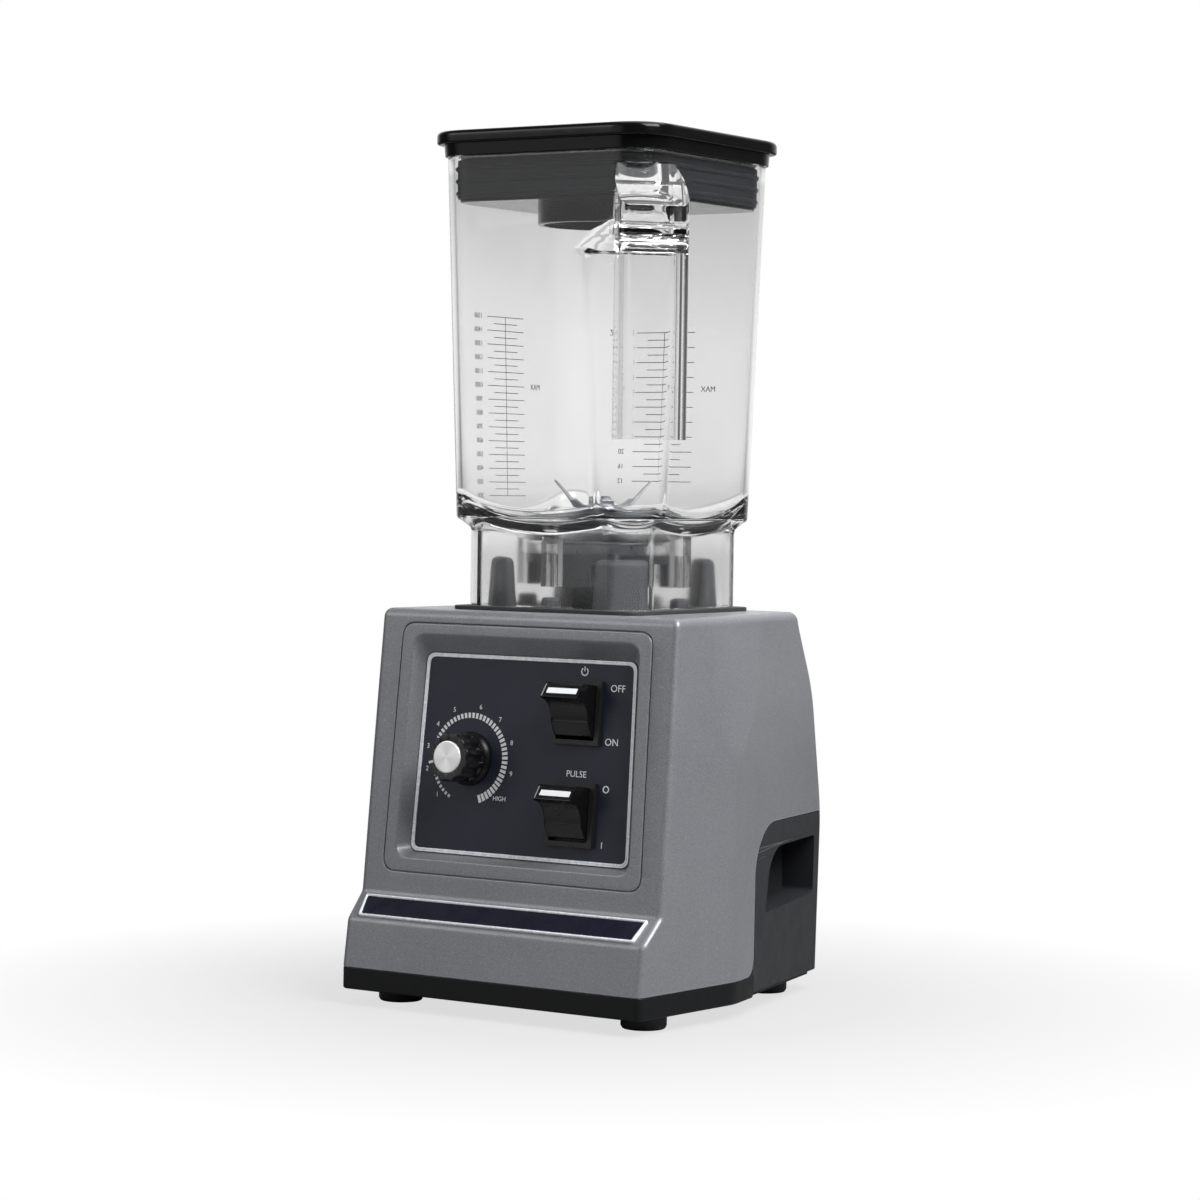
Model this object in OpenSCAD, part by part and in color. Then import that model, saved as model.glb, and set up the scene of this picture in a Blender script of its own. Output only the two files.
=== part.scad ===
// Countertop blender: a square clear jug on a tapered motor base.
// The drive axis is the Z axis and the feet meet the worktop at z = 0.
// The controls face -Y, so +X is the right-hand side of someone who uses them.

/* [Base housing] */
// Width across the foot of the front face
front_width = 204; // [198:1:210]
// Depth of the base at its foot
base_depth = 228; // [222:1:234]
// How far each side wall swells out between the front corner and the fold
side_swell = 9; // [6:0.5:11]
// How far in front of the drive axis the side fold runs
fold_forward = 25; // [15:1:35]
// Width across the rear face at its foot
rear_width = 171; // [166:1:176]
// Height of the top face above the worktop
housing_top = 229; // [227:0.5:233]
// Reach of the top face in front of the drive axis
top_front = 78.4; // [77:0.2:80]
// Reach of the top face behind the drive axis
top_rear = 72; // [70:0.5:76]
// Width of the top face along its rear edge
top_rear_width = 180; // [176:1:184]
// Inward lean of the side walls, in degrees
side_lean = 1.06; // [0.8:0.02:1.3]
// Wall thickness of the housing
housing_wall = 4; // [3.5:0.25:4.5]
// Radius of the edge round the top face
edge_radius = 5; // [3:0.5:6]

/* [Foot, band and toe] */
// Height of the rubber feet
foot_height = 9; // [8:0.5:11]
// Radius of the rubber feet
foot_radius = 13; // [11:0.5:14]
// Height of the black band above the feet
band_height = 12.7; // [11:0.1:14]
// Height of the leaning toe board above the band
toe_height = 27.7; // [25:0.1:30]
// Height of the sloping ledge above the toe board
ledge_height = 14.6; // [13:0.2:16]
// Depth of the sloping ledge
ledge_depth = 15.2; // [14:0.2:16]
// Lean of the toe board from bottom to top
toe_lean = 4; // [3:0.25:5]
// Thickness of the floor of the bottom cover
floor_thick = 3; // [2.5:0.25:4]

/* [Control panel] */
// Half width of the bezel at its foot
bezel_foot = 88.5; // [87:0.5:90]
// Half width of the bezel at its head
bezel_head = 85.7; // [85:0.1:87]
// Height of the bezel along the leaning face
bezel_height = 144; // [142:0.5:147]
// Distance from the ledge up to the bezel
bezel_rise = 13.5; // [12:0.5:15]
// Thickness of the bezel rim
bezel_thick = 2; // [1.5:0.25:2.5]
// Depth of the recess behind the bezel rim
recess_depth = 8; // [7:0.5:9]
// Thickness of the control panel
panel_thick = 2; // [1.5:0.25:2.5]
// Width of the bright border round the panel
border_width = 2.6; // [2:0.2:3.2]
// Distance of the speed dial left of the middle
dial_left = 38; // [36:0.5:40]
// Height of the speed dial along the face
dial_rise = 81; // [79:0.5:83]
// Outer radius of the printed dial ticks
dial_radius = 26.5; // [25:0.5:27]
// Distance of the rocker switches right of the middle
switch_right = 35; // [34:0.5:37]
// Height of the power rocker along the face
power_rise = 111; // [110:0.5:113]
// Height of the pulse rocker along the face
pulse_rise = 53.4; // [51:0.2:56]
// Width of a rocker switch frame
switch_width = 32; // [31:0.5:33]
// Height of a rocker switch frame
switch_height = 36.4; // [35:0.2:38]

/* [Speed knob] */
// Radius of the fluted part of the knob
knob_radius = 13.4; // [13:0.2:15]
// Radius of the skirt at the foot of the knob
knob_skirt = 15.6; // [15.2:0.2:17]
// How far the knob stands out from the panel
knob_height = 23; // [20:0.5:25]
// Radius of the bright disc on the knob
knob_disc = 9.2; // [8.6:0.2:10]
// Number of flutes round the knob
knob_flutes = 12; // [10:1:16]

/* [Jar] */
// Width across the jar walls at the top
jar_top_width = 147; // [145:0.5:148]
// Width across the jar walls at the foot
jar_foot_width = 133.6; // [132:0.4:135]
// Height of the jar from its seat to its rim
jar_height = 259.4; // [254:0.2:266]
// Height above its seat where the straight jar walls begin
jar_foot_rise = 51.4; // [49:0.2:54]
// Wall thickness of the jar
jar_wall = 3.5; // [3:0.25:4]
// Width across the skirt under the jar
skirt_width = 123; // [121:0.5:125]
// Height of the jar floor above the jar's seat
floor_rise = 36.4; // [35:0.2:38]
// Distance from the drive axis to the flat finger recess
recess_reach = 74; // [72:0.5:76]
// Distance from the drive axis to the outside of the handle
handle_reach = 130; // [126:0.5:132]
// Width of the handle
handle_width = 40; // [36:1:42]
// Thickness of the handle from front to back
handle_depth = 17; // [15:0.5:19]
// Length of the handle from its shoulder to its free end
handle_length = 128; // [120:1:134]

/* [Jar seat] */
// Width of the rubber pad on the housing
pad_width = 129.4; // [128:0.2:131]
// Thickness of the rubber pad
pad_thick = 2.3; // [2:0.1:3]
// Height of the centring lugs above the pad
lug_height = 28.5; // [26:0.5:30]
// Distance from the drive axis to the outside of a lug
lug_reach = 66; // [64:0.5:67]
// Width of a lug across the corner
lug_width = 36; // [32:1:38]

/* [Lid] */
// Width across the lid flange
lid_width = 156.8; // [154:0.4:160]
// Thickness of the lid flange
lid_thick = 7.5; // [6.5:0.25:8.5]
// Depth of the band under the flange
lid_band = 6.9; // [6:0.1:8]
// Depth of the plug below the jar rim
plug_depth = 26; // [23:0.5:28]
// Radius of the neck round the filler hole
neck_radius = 40; // [36:0.5:43]
// Depth of the neck below the plug
neck_drop = 11; // [8:0.5:13]

/* [Drive] */
// Radius of the motor shaft
shaft_radius = 4; // [3.5:0.25:4.5]
// Width of the square motor laminations
stator_width = 84; // [78:1:86]
// Height of the stack of laminations
stator_height = 60; // [54:1:62]
// Radius of the cooling fan
fan_radius = 44; // [40:0.5:46]
// Radius of the blade shaft in the jar
blade_shaft_radius = 5; // [4.5:0.25:5.5]
// Reach of the longest blade wings
blade_reach = 33; // [29:0.5:35]
// Radius of the collar round the drive
collar_radius = 25; // [24:0.5:26]

/* [Hidden] */

$fn = 64;
eps = 0.01;            // overlap that makes two shapes of one piece a single solid
seat_gap = 0.3;        // clearance between bodies that only rest on each other
run_gap = 0.05;        // radial clearance of a running fit
corner_steps = 5;      // facets round a softened corner

// Heights of the housing
band_top = foot_height + band_height;
toe_top = band_top + toe_height;
ledge_top = toe_top + ledge_height;
cover_top = band_top + 86.6;
fold_top = housing_top - 80;
shoulder = housing_top - 47;

// Heights of the jar
pad_top = housing_top + pad_thick;
seat = pad_top + seat_gap;              // foot of the skirt
jar_rim = seat + jar_height;
jar_foot = seat + jar_foot_rise;

// Plan of the housing
front_reach = base_depth / 2;
fold_x = front_width / 2 + side_swell;
side_slope = side_swell / (front_reach - fold_forward);
toe_y = front_reach - toe_lean;
ledge_y = toe_y - ledge_depth;
face_lean = atan((ledge_y - top_front) / (housing_top - ledge_top));
fold_head = 97.5;
fold_shoulder = fold_x - 4;
corner_set = 7;

// Reach of the front wall, of the fold and of the rear wall at a height
function front_y(z) = -lookup(z, [[band_top, front_reach], [toe_top, toe_y],
    [ledge_top, ledge_y], [housing_top, top_front]]);
function rear_y(z) = lookup(z, [[foot_height, front_reach], [cover_top, front_reach - 0.6],
    [shoulder, top_rear + 25], [housing_top, top_rear]]);
function rear_x(z) = lookup(z, [[cover_top, rear_width / 2], [shoulder, top_rear_width / 2 - 1],
    [housing_top, top_rear_width / 2]]);
function middle_x(z) = lookup(z, [[fold_top, fold_x], [shoulder, fold_shoulder],
    [housing_top, fold_head]]);
function corner_x(z) = fold_x + side_slope * (front_y(z) + fold_forward)
    - tan(side_lean) * (max(z, band_top) - band_top);
// The fold is crisp low down and melts into the wall above the shoulder
function fold_set(z) = lookup(z, [[fold_top, 6], [shoulder, 30], [housing_top, 34]]);
function middle_y(z) = lookup(z, [[fold_top, -fold_forward], [housing_top, -8]]);

function unit(v) = v / norm(v);
// One corner of an outline, from setback to setback: a quadratic curve at bend 1, a flat at 0
function soft_corner(before, corner, after, setback, steps, bend) =
    let (start = corner + setback * unit(before - corner),
         end = corner + setback * unit(after - corner))
    [for (i = [0:steps]) let (s = i / steps, line = (1 - s) * start + s * end)
        line + bend * 2 * s * (1 - s) * (corner - (start + end) / 2)];
function soft_outline(corners, setbacks, steps, bend = 1) = let (n = len(corners))
    [for (i = [0:n - 1]) each soft_corner(corners[(i + n - 1) % n], corners[i],
        corners[(i + 1) % n], setbacks[i], steps, bend)];
function soft_square(half, setback, bend = 1, steps = corner_steps) =
    soft_outline([[-half, -half], [half, -half], [half, half], [-half, half]],
        [setback, setback, setback, setback], steps, bend);
function at_height(outline, z) = [for (p = outline) [p.x, p.y, z]];

// Plan outline of the housing at a height, moved inwards by an inset
function body_outline(z, inset = 0) =
    let (yf = front_y(z) + inset, yr = rear_y(z) - inset, ym = middle_y(z),
         xf = corner_x(z) - inset, xm = middle_x(z) - inset, xr = rear_x(z) - inset,
         set = max(corner_set - inset, 2))
    soft_outline([[-xf, yf], [xf, yf], [xm, ym], [xr, yr], [-xr, yr], [-xm, ym]],
        [set, set, fold_set(z), set + 2, set + 2, fold_set(z)], corner_steps);

// A closed solid through a stack of outlines that have the same number of points
module loft(rings) {
    n = len(rings[0]);
    last = len(rings) - 1;
    polyhedron(
        points = [for (ring = rings) each ring],
        faces = concat(
            [[for (i = [0:n - 1]) i], [for (i = [n - 1:-1:0]) last * n + i]],
            [for (k = [0:last - 1], i = [0:n - 1])
                [k * n + i, (k + 1) * n + i, (k + 1) * n + (i + 1) % n]],
            [for (k = [0:last - 1], i = [0:n - 1])
                [k * n + i, (k + 1) * n + (i + 1) % n, k * n + (i + 1) % n]]),
        convexity = 6);
}

// The housing's outer form between two heights, moved inwards by an inset
module body_form(low, high, inset = 0) {
    stops = [low, toe_top, ledge_top, cover_top, fold_top, fold_top + 14, shoulder,
        shoulder + 20, high];
    loft([for (z = stops) if (z == low || z == high || (z > low + 1 && z < high - 1))
        at_height(body_outline(z, inset), z)]);
}

// A ring-shaped bar, a round bar and a flat slot, all exact
module ring(outer, inner, height) {
    difference() {
        cylinder(r = outer, h = height);
        translate([0, 0, -eps]) cylinder(r = inner, h = height + 2 * eps);
    }
}
module slot(length, width, height) {
    translate([0, 0, height / 2]) cube([length - width, width, height], center = true);
    for (side = [-1, 1]) translate([side * (length - width) / 2, 0, 0])
        cylinder(d = width, h = height);
}
module four_corners(x, y) {
    for (sx = [-1, 1], sy = [-1, 1]) translate([sx * x, sy * y, 0]) children();
}

// Puts its children on the leaning front face: X across, Y up the face, Z straight out of it
module on_front(x = 0, rise = 0, out = 0) {
    translate([0, -ledge_y, ledge_top]) rotate([90 - face_lean, 0, 0])
        translate([x, rise, out]) children();
}
// Turns its children so that X runs outwards through the jar's handle corner
module on_handle_corner() {
    rotate([0, 0, -45]) children();
}

// Outline on the front face, narrower at its head, at a margin inside the bezel's edge
function face_outline(side, low, high, setback) =
    let (head = bezel_rise + bezel_height)
    soft_outline([[-bezel_foot + side, bezel_rise + low], [bezel_foot - side, bezel_rise + low],
        [bezel_head - side, head - high], [-bezel_head + side, head - high]],
        [setback, setback, setback, setback], corner_steps);

// ---- Housing and covers ----

rebate = 2.6;          // depth of the lip that the rear cover laps over
lip_reach = 5;         // how far that lip reaches behind the cover
cover_wall = housing_wall - 0.4;
cover_front = 8;       // where the rear cover begins behind the drive axis
cover_low = foot_height + floor_thick;
cover_sweep = 26;      // radius of the cover's swept upper corner
cover_drop = 5;        // fall of the cover's top edge from the rear to the sweep
tray_wall = 3;
screw_hole = 1.9;
screw_front = 64;      // base screws into the housing, in front of the drive axis
screw_side = fold_x - side_slope * (screw_front - fold_forward) - housing_wall - 4;
cover_post_x = rear_width / 2 - 15;
cover_post_y = front_reach - 8;
cover_screw_x = 55;
cover_screw_z = cover_top - 8.3;
foot_x = 84;
foot_front = 80;
foot_rear_x = 66;
foot_rear = 84;
bezel_step = 3;        // width of the shelf that the bezel rests on
seam = 0.5;            // visible joint line round the bezel
shaft_hole = 13;       // hole in the housing's top for the drive
bracket_bolt = 30;     // bracket screws, across and along from the drive axis
name_low = 2.4;        // name plate's lower edge above the foot of the ledge
name_tall = 16.2;
pocket_front = 20;     // grip pocket, behind the drive axis
pocket_rear = front_reach - 13;
pocket_low = 56;
pocket_top = cover_top - cover_drop - 9.8;
pocket_inner = 67;     // distance of the pocket's inner wall from the middle
pocket_sweep = 22;
gland_x = 48;
gland_z = 31.5;
gland_bore = 3.75;
gland_radius = 6.5;
louvre_count = 7;
louvre_pitch = 7.4;
louvre_low = 47;

// Side view of the rear cover, with its swept upper front corner, as a long bar across
module cover_side(grow = 0) {
    front = cover_front - grow;
    arc_y = cover_front + 1 + cover_sweep;
    arc_z = cover_top - cover_drop - cover_sweep;
    reach = cover_sweep + grow;
    translate([-150, 0, 0]) rotate([90, 0, 90]) linear_extrude(300)
        polygon(concat([[front, 0]],
            [for (a = [180:-11.25:90]) [arc_y + reach * cos(a), arc_z + reach * sin(a)]],
            [[front_reach + 20, cover_top + grow + 1], [front_reach + 20, 0]]));
}
// Side view of a grip pocket, from its inner wall outwards
module grip_pocket(grow = 0) {
    arc_y = pocket_front + pocket_sweep + 4;
    arc_z = pocket_top - pocket_sweep;
    reach = pocket_sweep + grow;
    for (side = [-1, 1]) scale([side, 1, 1])
        translate([pocket_inner - grow, 0, 0]) rotate([90, 0, 90]) linear_extrude(60)
            polygon(concat([[pocket_front - grow, pocket_low - grow]],
                [for (a = [180:-15:90]) [arc_y + reach * cos(a), arc_z + reach * sin(a)]],
                [[pocket_rear + grow, pocket_top + 1 + grow],
                    [pocket_rear + grow, pocket_low + 4 - grow]]));
}

module main_housing() {
    color([0.43, 0.44, 0.46]) difference() {
        union() {
            difference() {
                loft(concat(
                    [for (z = [band_top, toe_top, ledge_top, cover_top, fold_top, fold_top + 14,
                        shoulder, shoulder + 20]) at_height(body_outline(z), z)],
                    [for (a = [0, 30, 60, 90]) let (z = housing_top - edge_radius * (1 - sin(a)))
                        at_height(body_outline(z, edge_radius * (1 - cos(a))), z)]));
                translate([0, 0, -eps])
                    body_form(band_top, housing_top - housing_wall, housing_wall);
                cover_side(seat_gap);
            }
            // Lip behind the seam of the rear cover
            intersection() {
                difference() {
                    body_form(band_top, cover_top + 12, housing_wall - 0.1);
                    translate([0, 0, -1])
                        body_form(band_top, cover_top + 14, housing_wall + rebate);
                }
                difference() {
                    cover_side(8);
                    cover_side(-lip_reach);
                }
            }
            for (side = [-1, 1]) {
                translate([side * screw_side, -screw_front, band_top]) cylinder(r = 5, h = 26);
                translate([side * cover_screw_x, front_reach - housing_wall - 0.6, cover_screw_z])
                    rotate([90, 0, 0]) cylinder(r = 5, h = 13);
            }
        }
        // Pocket, shelf and window for the bezel
        on_front(out = -bezel_thick) linear_extrude(20)
            polygon(face_outline(-seam, -seam, -seam, 9));
        on_front(out = -20) linear_extrude(40)
            polygon(face_outline(bezel_step, bezel_step, bezel_step, 7));
        translate([0, 0, housing_top - 10]) cylinder(r = shaft_hole, h = 20);
        for (side = [-1, 1]) {
            translate([side * screw_side, -screw_front, band_top - eps])
                cylinder(r = screw_hole, h = 20);
            translate([side * cover_screw_x, front_reach, cover_screw_z])
                rotate([90, 0, 0]) cylinder(r = screw_hole, h = 15);
        }
        four_corners(bracket_bolt, bracket_bolt) {
            translate([0, 0, housing_top - 10]) cylinder(r = 2.2, h = 20);
            translate([0, 0, housing_top - 2.3]) cylinder(r = 4.2, h = 5);
        }
    }
}

module rear_cover() {
    color([0.24, 0.25, 0.26]) difference() {
        union() {
            intersection() {
                difference() {
                    body_form(cover_low, cover_top + 12);
                    translate([0, 0, -1]) body_form(cover_low, cover_top + 14, cover_wall);
                }
                cover_side();
            }
            intersection() {
                body_form(cover_low, cover_top + 12, 0.4);
                grip_pocket(2.5);
            }
            for (side = [-1, 1]) translate([side * cover_post_x, cover_post_y, cover_low])
                cylinder(r = 5, h = 22);
        }
        grip_pocket();
        for (k = [0:louvre_count - 1])
            translate([0, front_reach + 5, louvre_low + k * louvre_pitch])
                rotate([90, 0, 0]) slot(88, 3.6, 20);
        translate([gland_x, front_reach + 5, gland_z]) rotate([90, 0, 0]) {
            cylinder(r = gland_radius + 0.1, h = 20);
            cylinder(r = 9.2, h = 7);
        }
        translate([-gland_x, front_reach + 5, gland_z]) rotate([90, 0, 0]) {
            cylinder(r = 6.1, h = 20);
            cylinder(r = 8.2, h = 7);
        }
        for (side = [-1, 1]) {
            translate([side * cover_post_x, cover_post_y, cover_low - eps])
                cylinder(r = screw_hole, h = 16);
            translate([side * cover_screw_x, front_reach + 5, cover_screw_z])
                rotate([90, 0, 0]) {
                    cylinder(r = 2.1, h = 20);
                    cylinder(r = 4.2, h = 7.3);
                }
        }
    }
}

module bottom_cover() {
    color([0.07, 0.08, 0.09]) difference() {
        union() {
            difference() {
                translate([0, 0, foot_height]) tray_plan(0);
                translate([0, 0, cover_low]) tray_plan(tray_wall);
            }
            for (side = [-1, 1]) translate([side * screw_side, -screw_front, foot_height])
                cylinder(r = 6, h = band_height);
            translate([0, 0, foot_height]) at_feet() cylinder(r = 5, h = 11);
        }
        for (side = [-1, 1]) {
            translate([side * screw_side, -screw_front, foot_height - 1]) {
                cylinder(r = 2.1, h = 20);
                cylinder(r = 4.2, h = 4.3);
            }
            translate([side * cover_post_x, cover_post_y, foot_height - 1]) {
                cylinder(r = 2.1, h = 20);
                cylinder(r = 4.2, h = 2.6);
            }
            translate([side * cover_post_x, cover_post_y, cover_low])
                cylinder(r = 5.3, h = 20);
        }
        at_feet() translate([0, 0, foot_height - 1]) cylinder(r = 1.6, h = 20);
        // Air inlet under the fan
        for (k = [-4:4]) translate([0, k * 8, foot_height - 1])
            slot(2 * sqrt(40 * 40 - 64 * k * k * 0.6), 4, 6);
    }
}
// The tray's plan: full size in front, inside the rear cover behind
module tray_plan(inset) {
    linear_extrude(band_height) difference() {
        polygon(body_outline(band_top, inset));
        difference() {
            translate([-150, cover_front - seat_gap - inset]) square(300);
            polygon(body_outline(band_top, housing_wall + seat_gap + inset));
        }
    }
}
module at_feet() {
    for (side = [-1, 1]) {
        translate([side * foot_x, -foot_front, 0]) children();
        translate([side * foot_rear_x, foot_rear, 0]) children();
    }
}

module feet() {
    color([0.05, 0.05, 0.05]) at_feet() difference() {
        union() {
            cylinder(r1 = foot_radius - 1, r2 = foot_radius, h = 2);
            translate([0, 0, 2]) cylinder(r = foot_radius, h = foot_height - 2);
        }
        translate([0, 0, -1]) cylinder(r = 5.5, h = 4.5);
        cylinder(r = 2.1, h = foot_height + 1);
    }
}
module foot_screws() {
    color([0.7, 0.71, 0.72]) at_feet() {
        difference() {
            translate([0, 0, 1.5]) cylinder(r = 4, h = 2);
            translate([0, 0, 1]) slot(5, 1, 1.5);
        }
        translate([0, 0, 3.5 - eps]) cylinder(r = 1.5, h = foot_height + 5);
    }
}
module base_screw(length, head_z) {
    translate([0, 0, head_z]) difference() {
        cylinder(r = 4, h = 2);
        translate([0, 0, -eps]) cylinder(r = 1.8, h = 1, $fn = 6);
    }
    translate([0, 0, head_z + 2 - eps]) cylinder(r = 1.8, h = length);
}
module base_screws() {
    color([0.7, 0.71, 0.72]) for (side = [-1, 1]) {
        translate([side * screw_side, -screw_front, 0]) base_screw(22, foot_height + 1.3);
        translate([side * cover_post_x, cover_post_y, 0]) base_screw(14, foot_height - 0.4);
    }
}
module cover_screws() {
    color([0.2, 0.2, 0.2]) for (side = [-1, 1])
        translate([side * cover_screw_x, front_reach - 0.3, cover_screw_z])
            rotate([90, 0, 0]) base_screw(12, 0);
}
module bracket_screws() {
    color([0.7, 0.71, 0.72]) four_corners(bracket_bolt, bracket_bolt)
        translate([0, 0, housing_top]) rotate([180, 0, 0]) base_screw(14, 0.2);
}

// ---- Control panel ----

lip_side = 8;          // bezel rim from its outer edge to the recess
lip_head = 6.3;
floor_side = 12.9;     // bezel's edge to the recess floor, at the sides
floor_low = 11.7;
floor_head = 16;
tub_wall = 2.2;
panel_out = -recess_depth;              // height of the panel's face
shelf_out = panel_out - panel_thick;    // shelf that the panel rests on
body_width = switch_width - 4;          // switch body behind the panel
body_height = switch_height - 4.4;
body_depth = 23;
post_depth = 14;       // posts that carry the speed board
board_width = 58;
board_height = 60;
board_rise = dial_rise - 32;
board_left = dial_left + 28;
shaft_stub = 3;        // radius of the dial's shaft

function recess_ring(grow, out) = at_height(face_outline(lip_side - grow, lip_side - grow,
    lip_head - grow, 9), out);
function floor_ring(grow, out) = at_height(face_outline(floor_side - grow, floor_low - grow,
    floor_head - grow, 6), out);
module at_switch_holes() {
    for (rise = [power_rise, pulse_rise]) translate([switch_right, rise, 0]) children();
}
module at_board_posts(out) {
    for (x = [4, board_width - 4], y = [4, board_height - 4])
        translate([-board_left + x, board_rise + y, out]) children();
}

module control_bezel() {
    color([0.43, 0.44, 0.46]) on_front() difference() {
        union() {
            translate([0, 0, -bezel_thick]) linear_extrude(bezel_thick)
                polygon(face_outline(0, 0, 0, 8.5));
            loft([floor_ring(tub_wall, shelf_out - 2.5), floor_ring(tub_wall, panel_out),
                recess_ring(tub_wall, -eps)]);
        }
        loft([floor_ring(0, panel_out), recess_ring(0, eps)]);
        translate([0, 0, shelf_out]) linear_extrude(panel_thick + eps)
            polygon(face_outline(floor_side, floor_low, floor_head, 6));
        translate([0, 0, shelf_out - 10]) linear_extrude(20)
            polygon(face_outline(floor_side + 4, floor_low + 4, floor_head + 4, 4));
    }
}
module control_panel() {
    color([0.13, 0.15, 0.2]) on_front() difference() {
        union() {
            translate([0, 0, shelf_out]) linear_extrude(panel_thick)
                polygon(face_outline(floor_side + 0.15, floor_low + 0.15, floor_head + 0.15, 5.8));
            at_board_posts(shelf_out - post_depth) cylinder(r = 2.5, h = post_depth + eps);
        }
        translate([-dial_left, dial_rise, -20]) cylinder(r = 3.9, h = 30);
        at_switch_holes() translate([0, 0, -14])
            cube([body_width + 0.4, body_height + 0.4, 30], center = true);
        at_board_posts(shelf_out - post_depth - 1) cylinder(r = 1.2, h = 8);
    }
}
module panel_border() {
    color([0.75, 0.8, 0.84]) on_front(out = panel_out) linear_extrude(0.6) difference() {
        polygon(face_outline(floor_side + 0.4, floor_low + 0.4, floor_head + 0.4, 6));
        polygon(face_outline(floor_side + border_width, floor_low + border_width,
            floor_head + border_width, 4));
    }
}
module on_ledge() {
    translate([0, -toe_y, toe_top]) rotate([atan2(ledge_height, ledge_depth), 0, 0]) children();
}
function name_outline(inset) = let (foot = front_width / 2 - 7.5 - inset, head = foot + 2.5)
    soft_outline([[-foot, name_low + inset], [foot, name_low + inset],
        [head, name_low + name_tall - inset], [-head, name_low + name_tall - inset]],
        [1.5, 1.5, 1.5, 1.5], corner_steps);
module name_plate() {
    color([0.06, 0.07, 0.2]) on_ledge() linear_extrude(1) polygon(name_outline(1.7));
}
module name_trim() {
    color([0.75, 0.8, 0.84]) on_ledge() linear_extrude(1.5) difference() {
        polygon(name_outline(0));
        polygon(name_outline(1.6));
    }
}

module potentiometer() {
    color([0.5, 0.5, 0.48]) on_front(-dial_left, dial_rise) difference() {
        union() {
            translate([0, 0, shelf_out - 11]) cylinder(r = 8.5, h = 11);
            translate([0, 0, shelf_out - eps]) cylinder(r = 3.7, h = panel_thick + 4.5);
            translate([0, 0, panel_out]) cylinder(r = 6.3, h = 2.4, $fn = 6);
        }
        translate([0, 0, shelf_out - 9]) cylinder(r = shaft_stub + run_gap, h = 30);
    }
}
module knob_shaft() {
    color([0.7, 0.7, 0.7]) on_front(-dial_left, dial_rise, shelf_out - 8.7)
        cylinder(r = shaft_stub, h = panel_thick + 8.7 + knob_height - 5);
}
module speed_knob() {
    color([0.05, 0.05, 0.05]) on_front(-dial_left, dial_rise, panel_out + seat_gap) difference() {
        union() {
            cylinder(r = knob_skirt, h = 2);
            translate([0, 0, 2 - eps])
                cylinder(r1 = knob_skirt, r2 = knob_radius + 0.6, h = 2.5);
            translate([0, 0, 4.4]) cylinder(r = knob_radius + 0.6, h = knob_height - 6.4);
            translate([0, 0, knob_height - 2 - eps])
                cylinder(r1 = knob_radius + 0.6, r2 = knob_radius - 0.4, h = 1.2);
        }
        translate([0, 0, -eps]) cylinder(r = 7.6, h = 7);
        translate([0, 0, -eps]) cylinder(r = shaft_stub + 0.02, h = knob_height - 4.6);
        for (k = [0:knob_flutes - 1]) rotate([0, 0, 360 * k / knob_flutes])
            translate([knob_radius + 2.3, 0, 5.2]) cylinder(r = 2.7, h = knob_height);
        translate([0, 0, knob_height - 2.4]) cylinder(r = knob_disc + 0.1, h = 5);
    }
}
module knob_disc_cap() {
    color([0.8, 0.81, 0.82]) on_front(-dial_left, dial_rise, panel_out + seat_gap)
        translate([0, 0, knob_height - 2.4]) {
            cylinder(r = knob_disc, h = 1.8);
            translate([0, 0, 1.8 - eps]) cylinder(r1 = knob_disc, r2 = knob_disc - 0.6, h = 0.6);
        }
}
module speed_board() {
    color([0.1, 0.35, 0.2]) on_front(-board_left, board_rise, shelf_out - post_depth - 1.6)
        difference() {
            cube([board_width, board_height, 1.6]);
            for (x = [4, board_width - 4], y = [4, board_height - 4])
                translate([x, y, -1]) cylinder(r = 1.6, h = 4);
        }
    // Capacitor, choke and the triac on its heat sink
    color([0.75, 0.72, 0.6]) on_front(-board_left, board_rise, shelf_out - post_depth - 1.6)
        mirror([0, 0, 1]) {
            translate([8, 30, -eps]) cube([9, 20, 11]);
            translate([26, 44, -eps]) difference() {
                cylinder(r = 8, h = 8);
                translate([0, 0, 1]) cylinder(r = 3.5, h = 9);
            }
            for (k = [0:4]) translate([38 + k * 3, 8, -eps]) cube([1.4, 34, 12]);
            translate([38, 8, -eps]) cube([13.4, 34, 3]);
        }
}

// ---- Rocker switches ----

pivot_sink = 3;        // depth of the rocker's pivot below the panel's face
paddle_half = (body_width - 2.4) / 2 - 0.4;
frame_rim = 3;         // height of the switch frame above the panel

module switch_body() {
    difference() {
        union() {
            translate([0, 0, frame_rim / 2])
                cube([switch_width, switch_height, frame_rim], center = true);
            translate([0, 0, -body_depth / 2 + eps])
                cube([body_width, body_height, body_depth], center = true);
            for (y = [-9, 0, 9]) translate([-3, y - 0.4, -body_depth - 6]) cube([6, 0.8, 7]);
        }
        translate([0, 0, 0])
            cube([body_width - 2.4, body_height - 1.2, 2 * (body_depth - 2)], center = true);
        translate([-body_width, 0, -pivot_sink]) rotate([0, 90, 0])
            cylinder(r = 1.5 + run_gap, h = 2 * body_width);
    }
}
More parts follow.
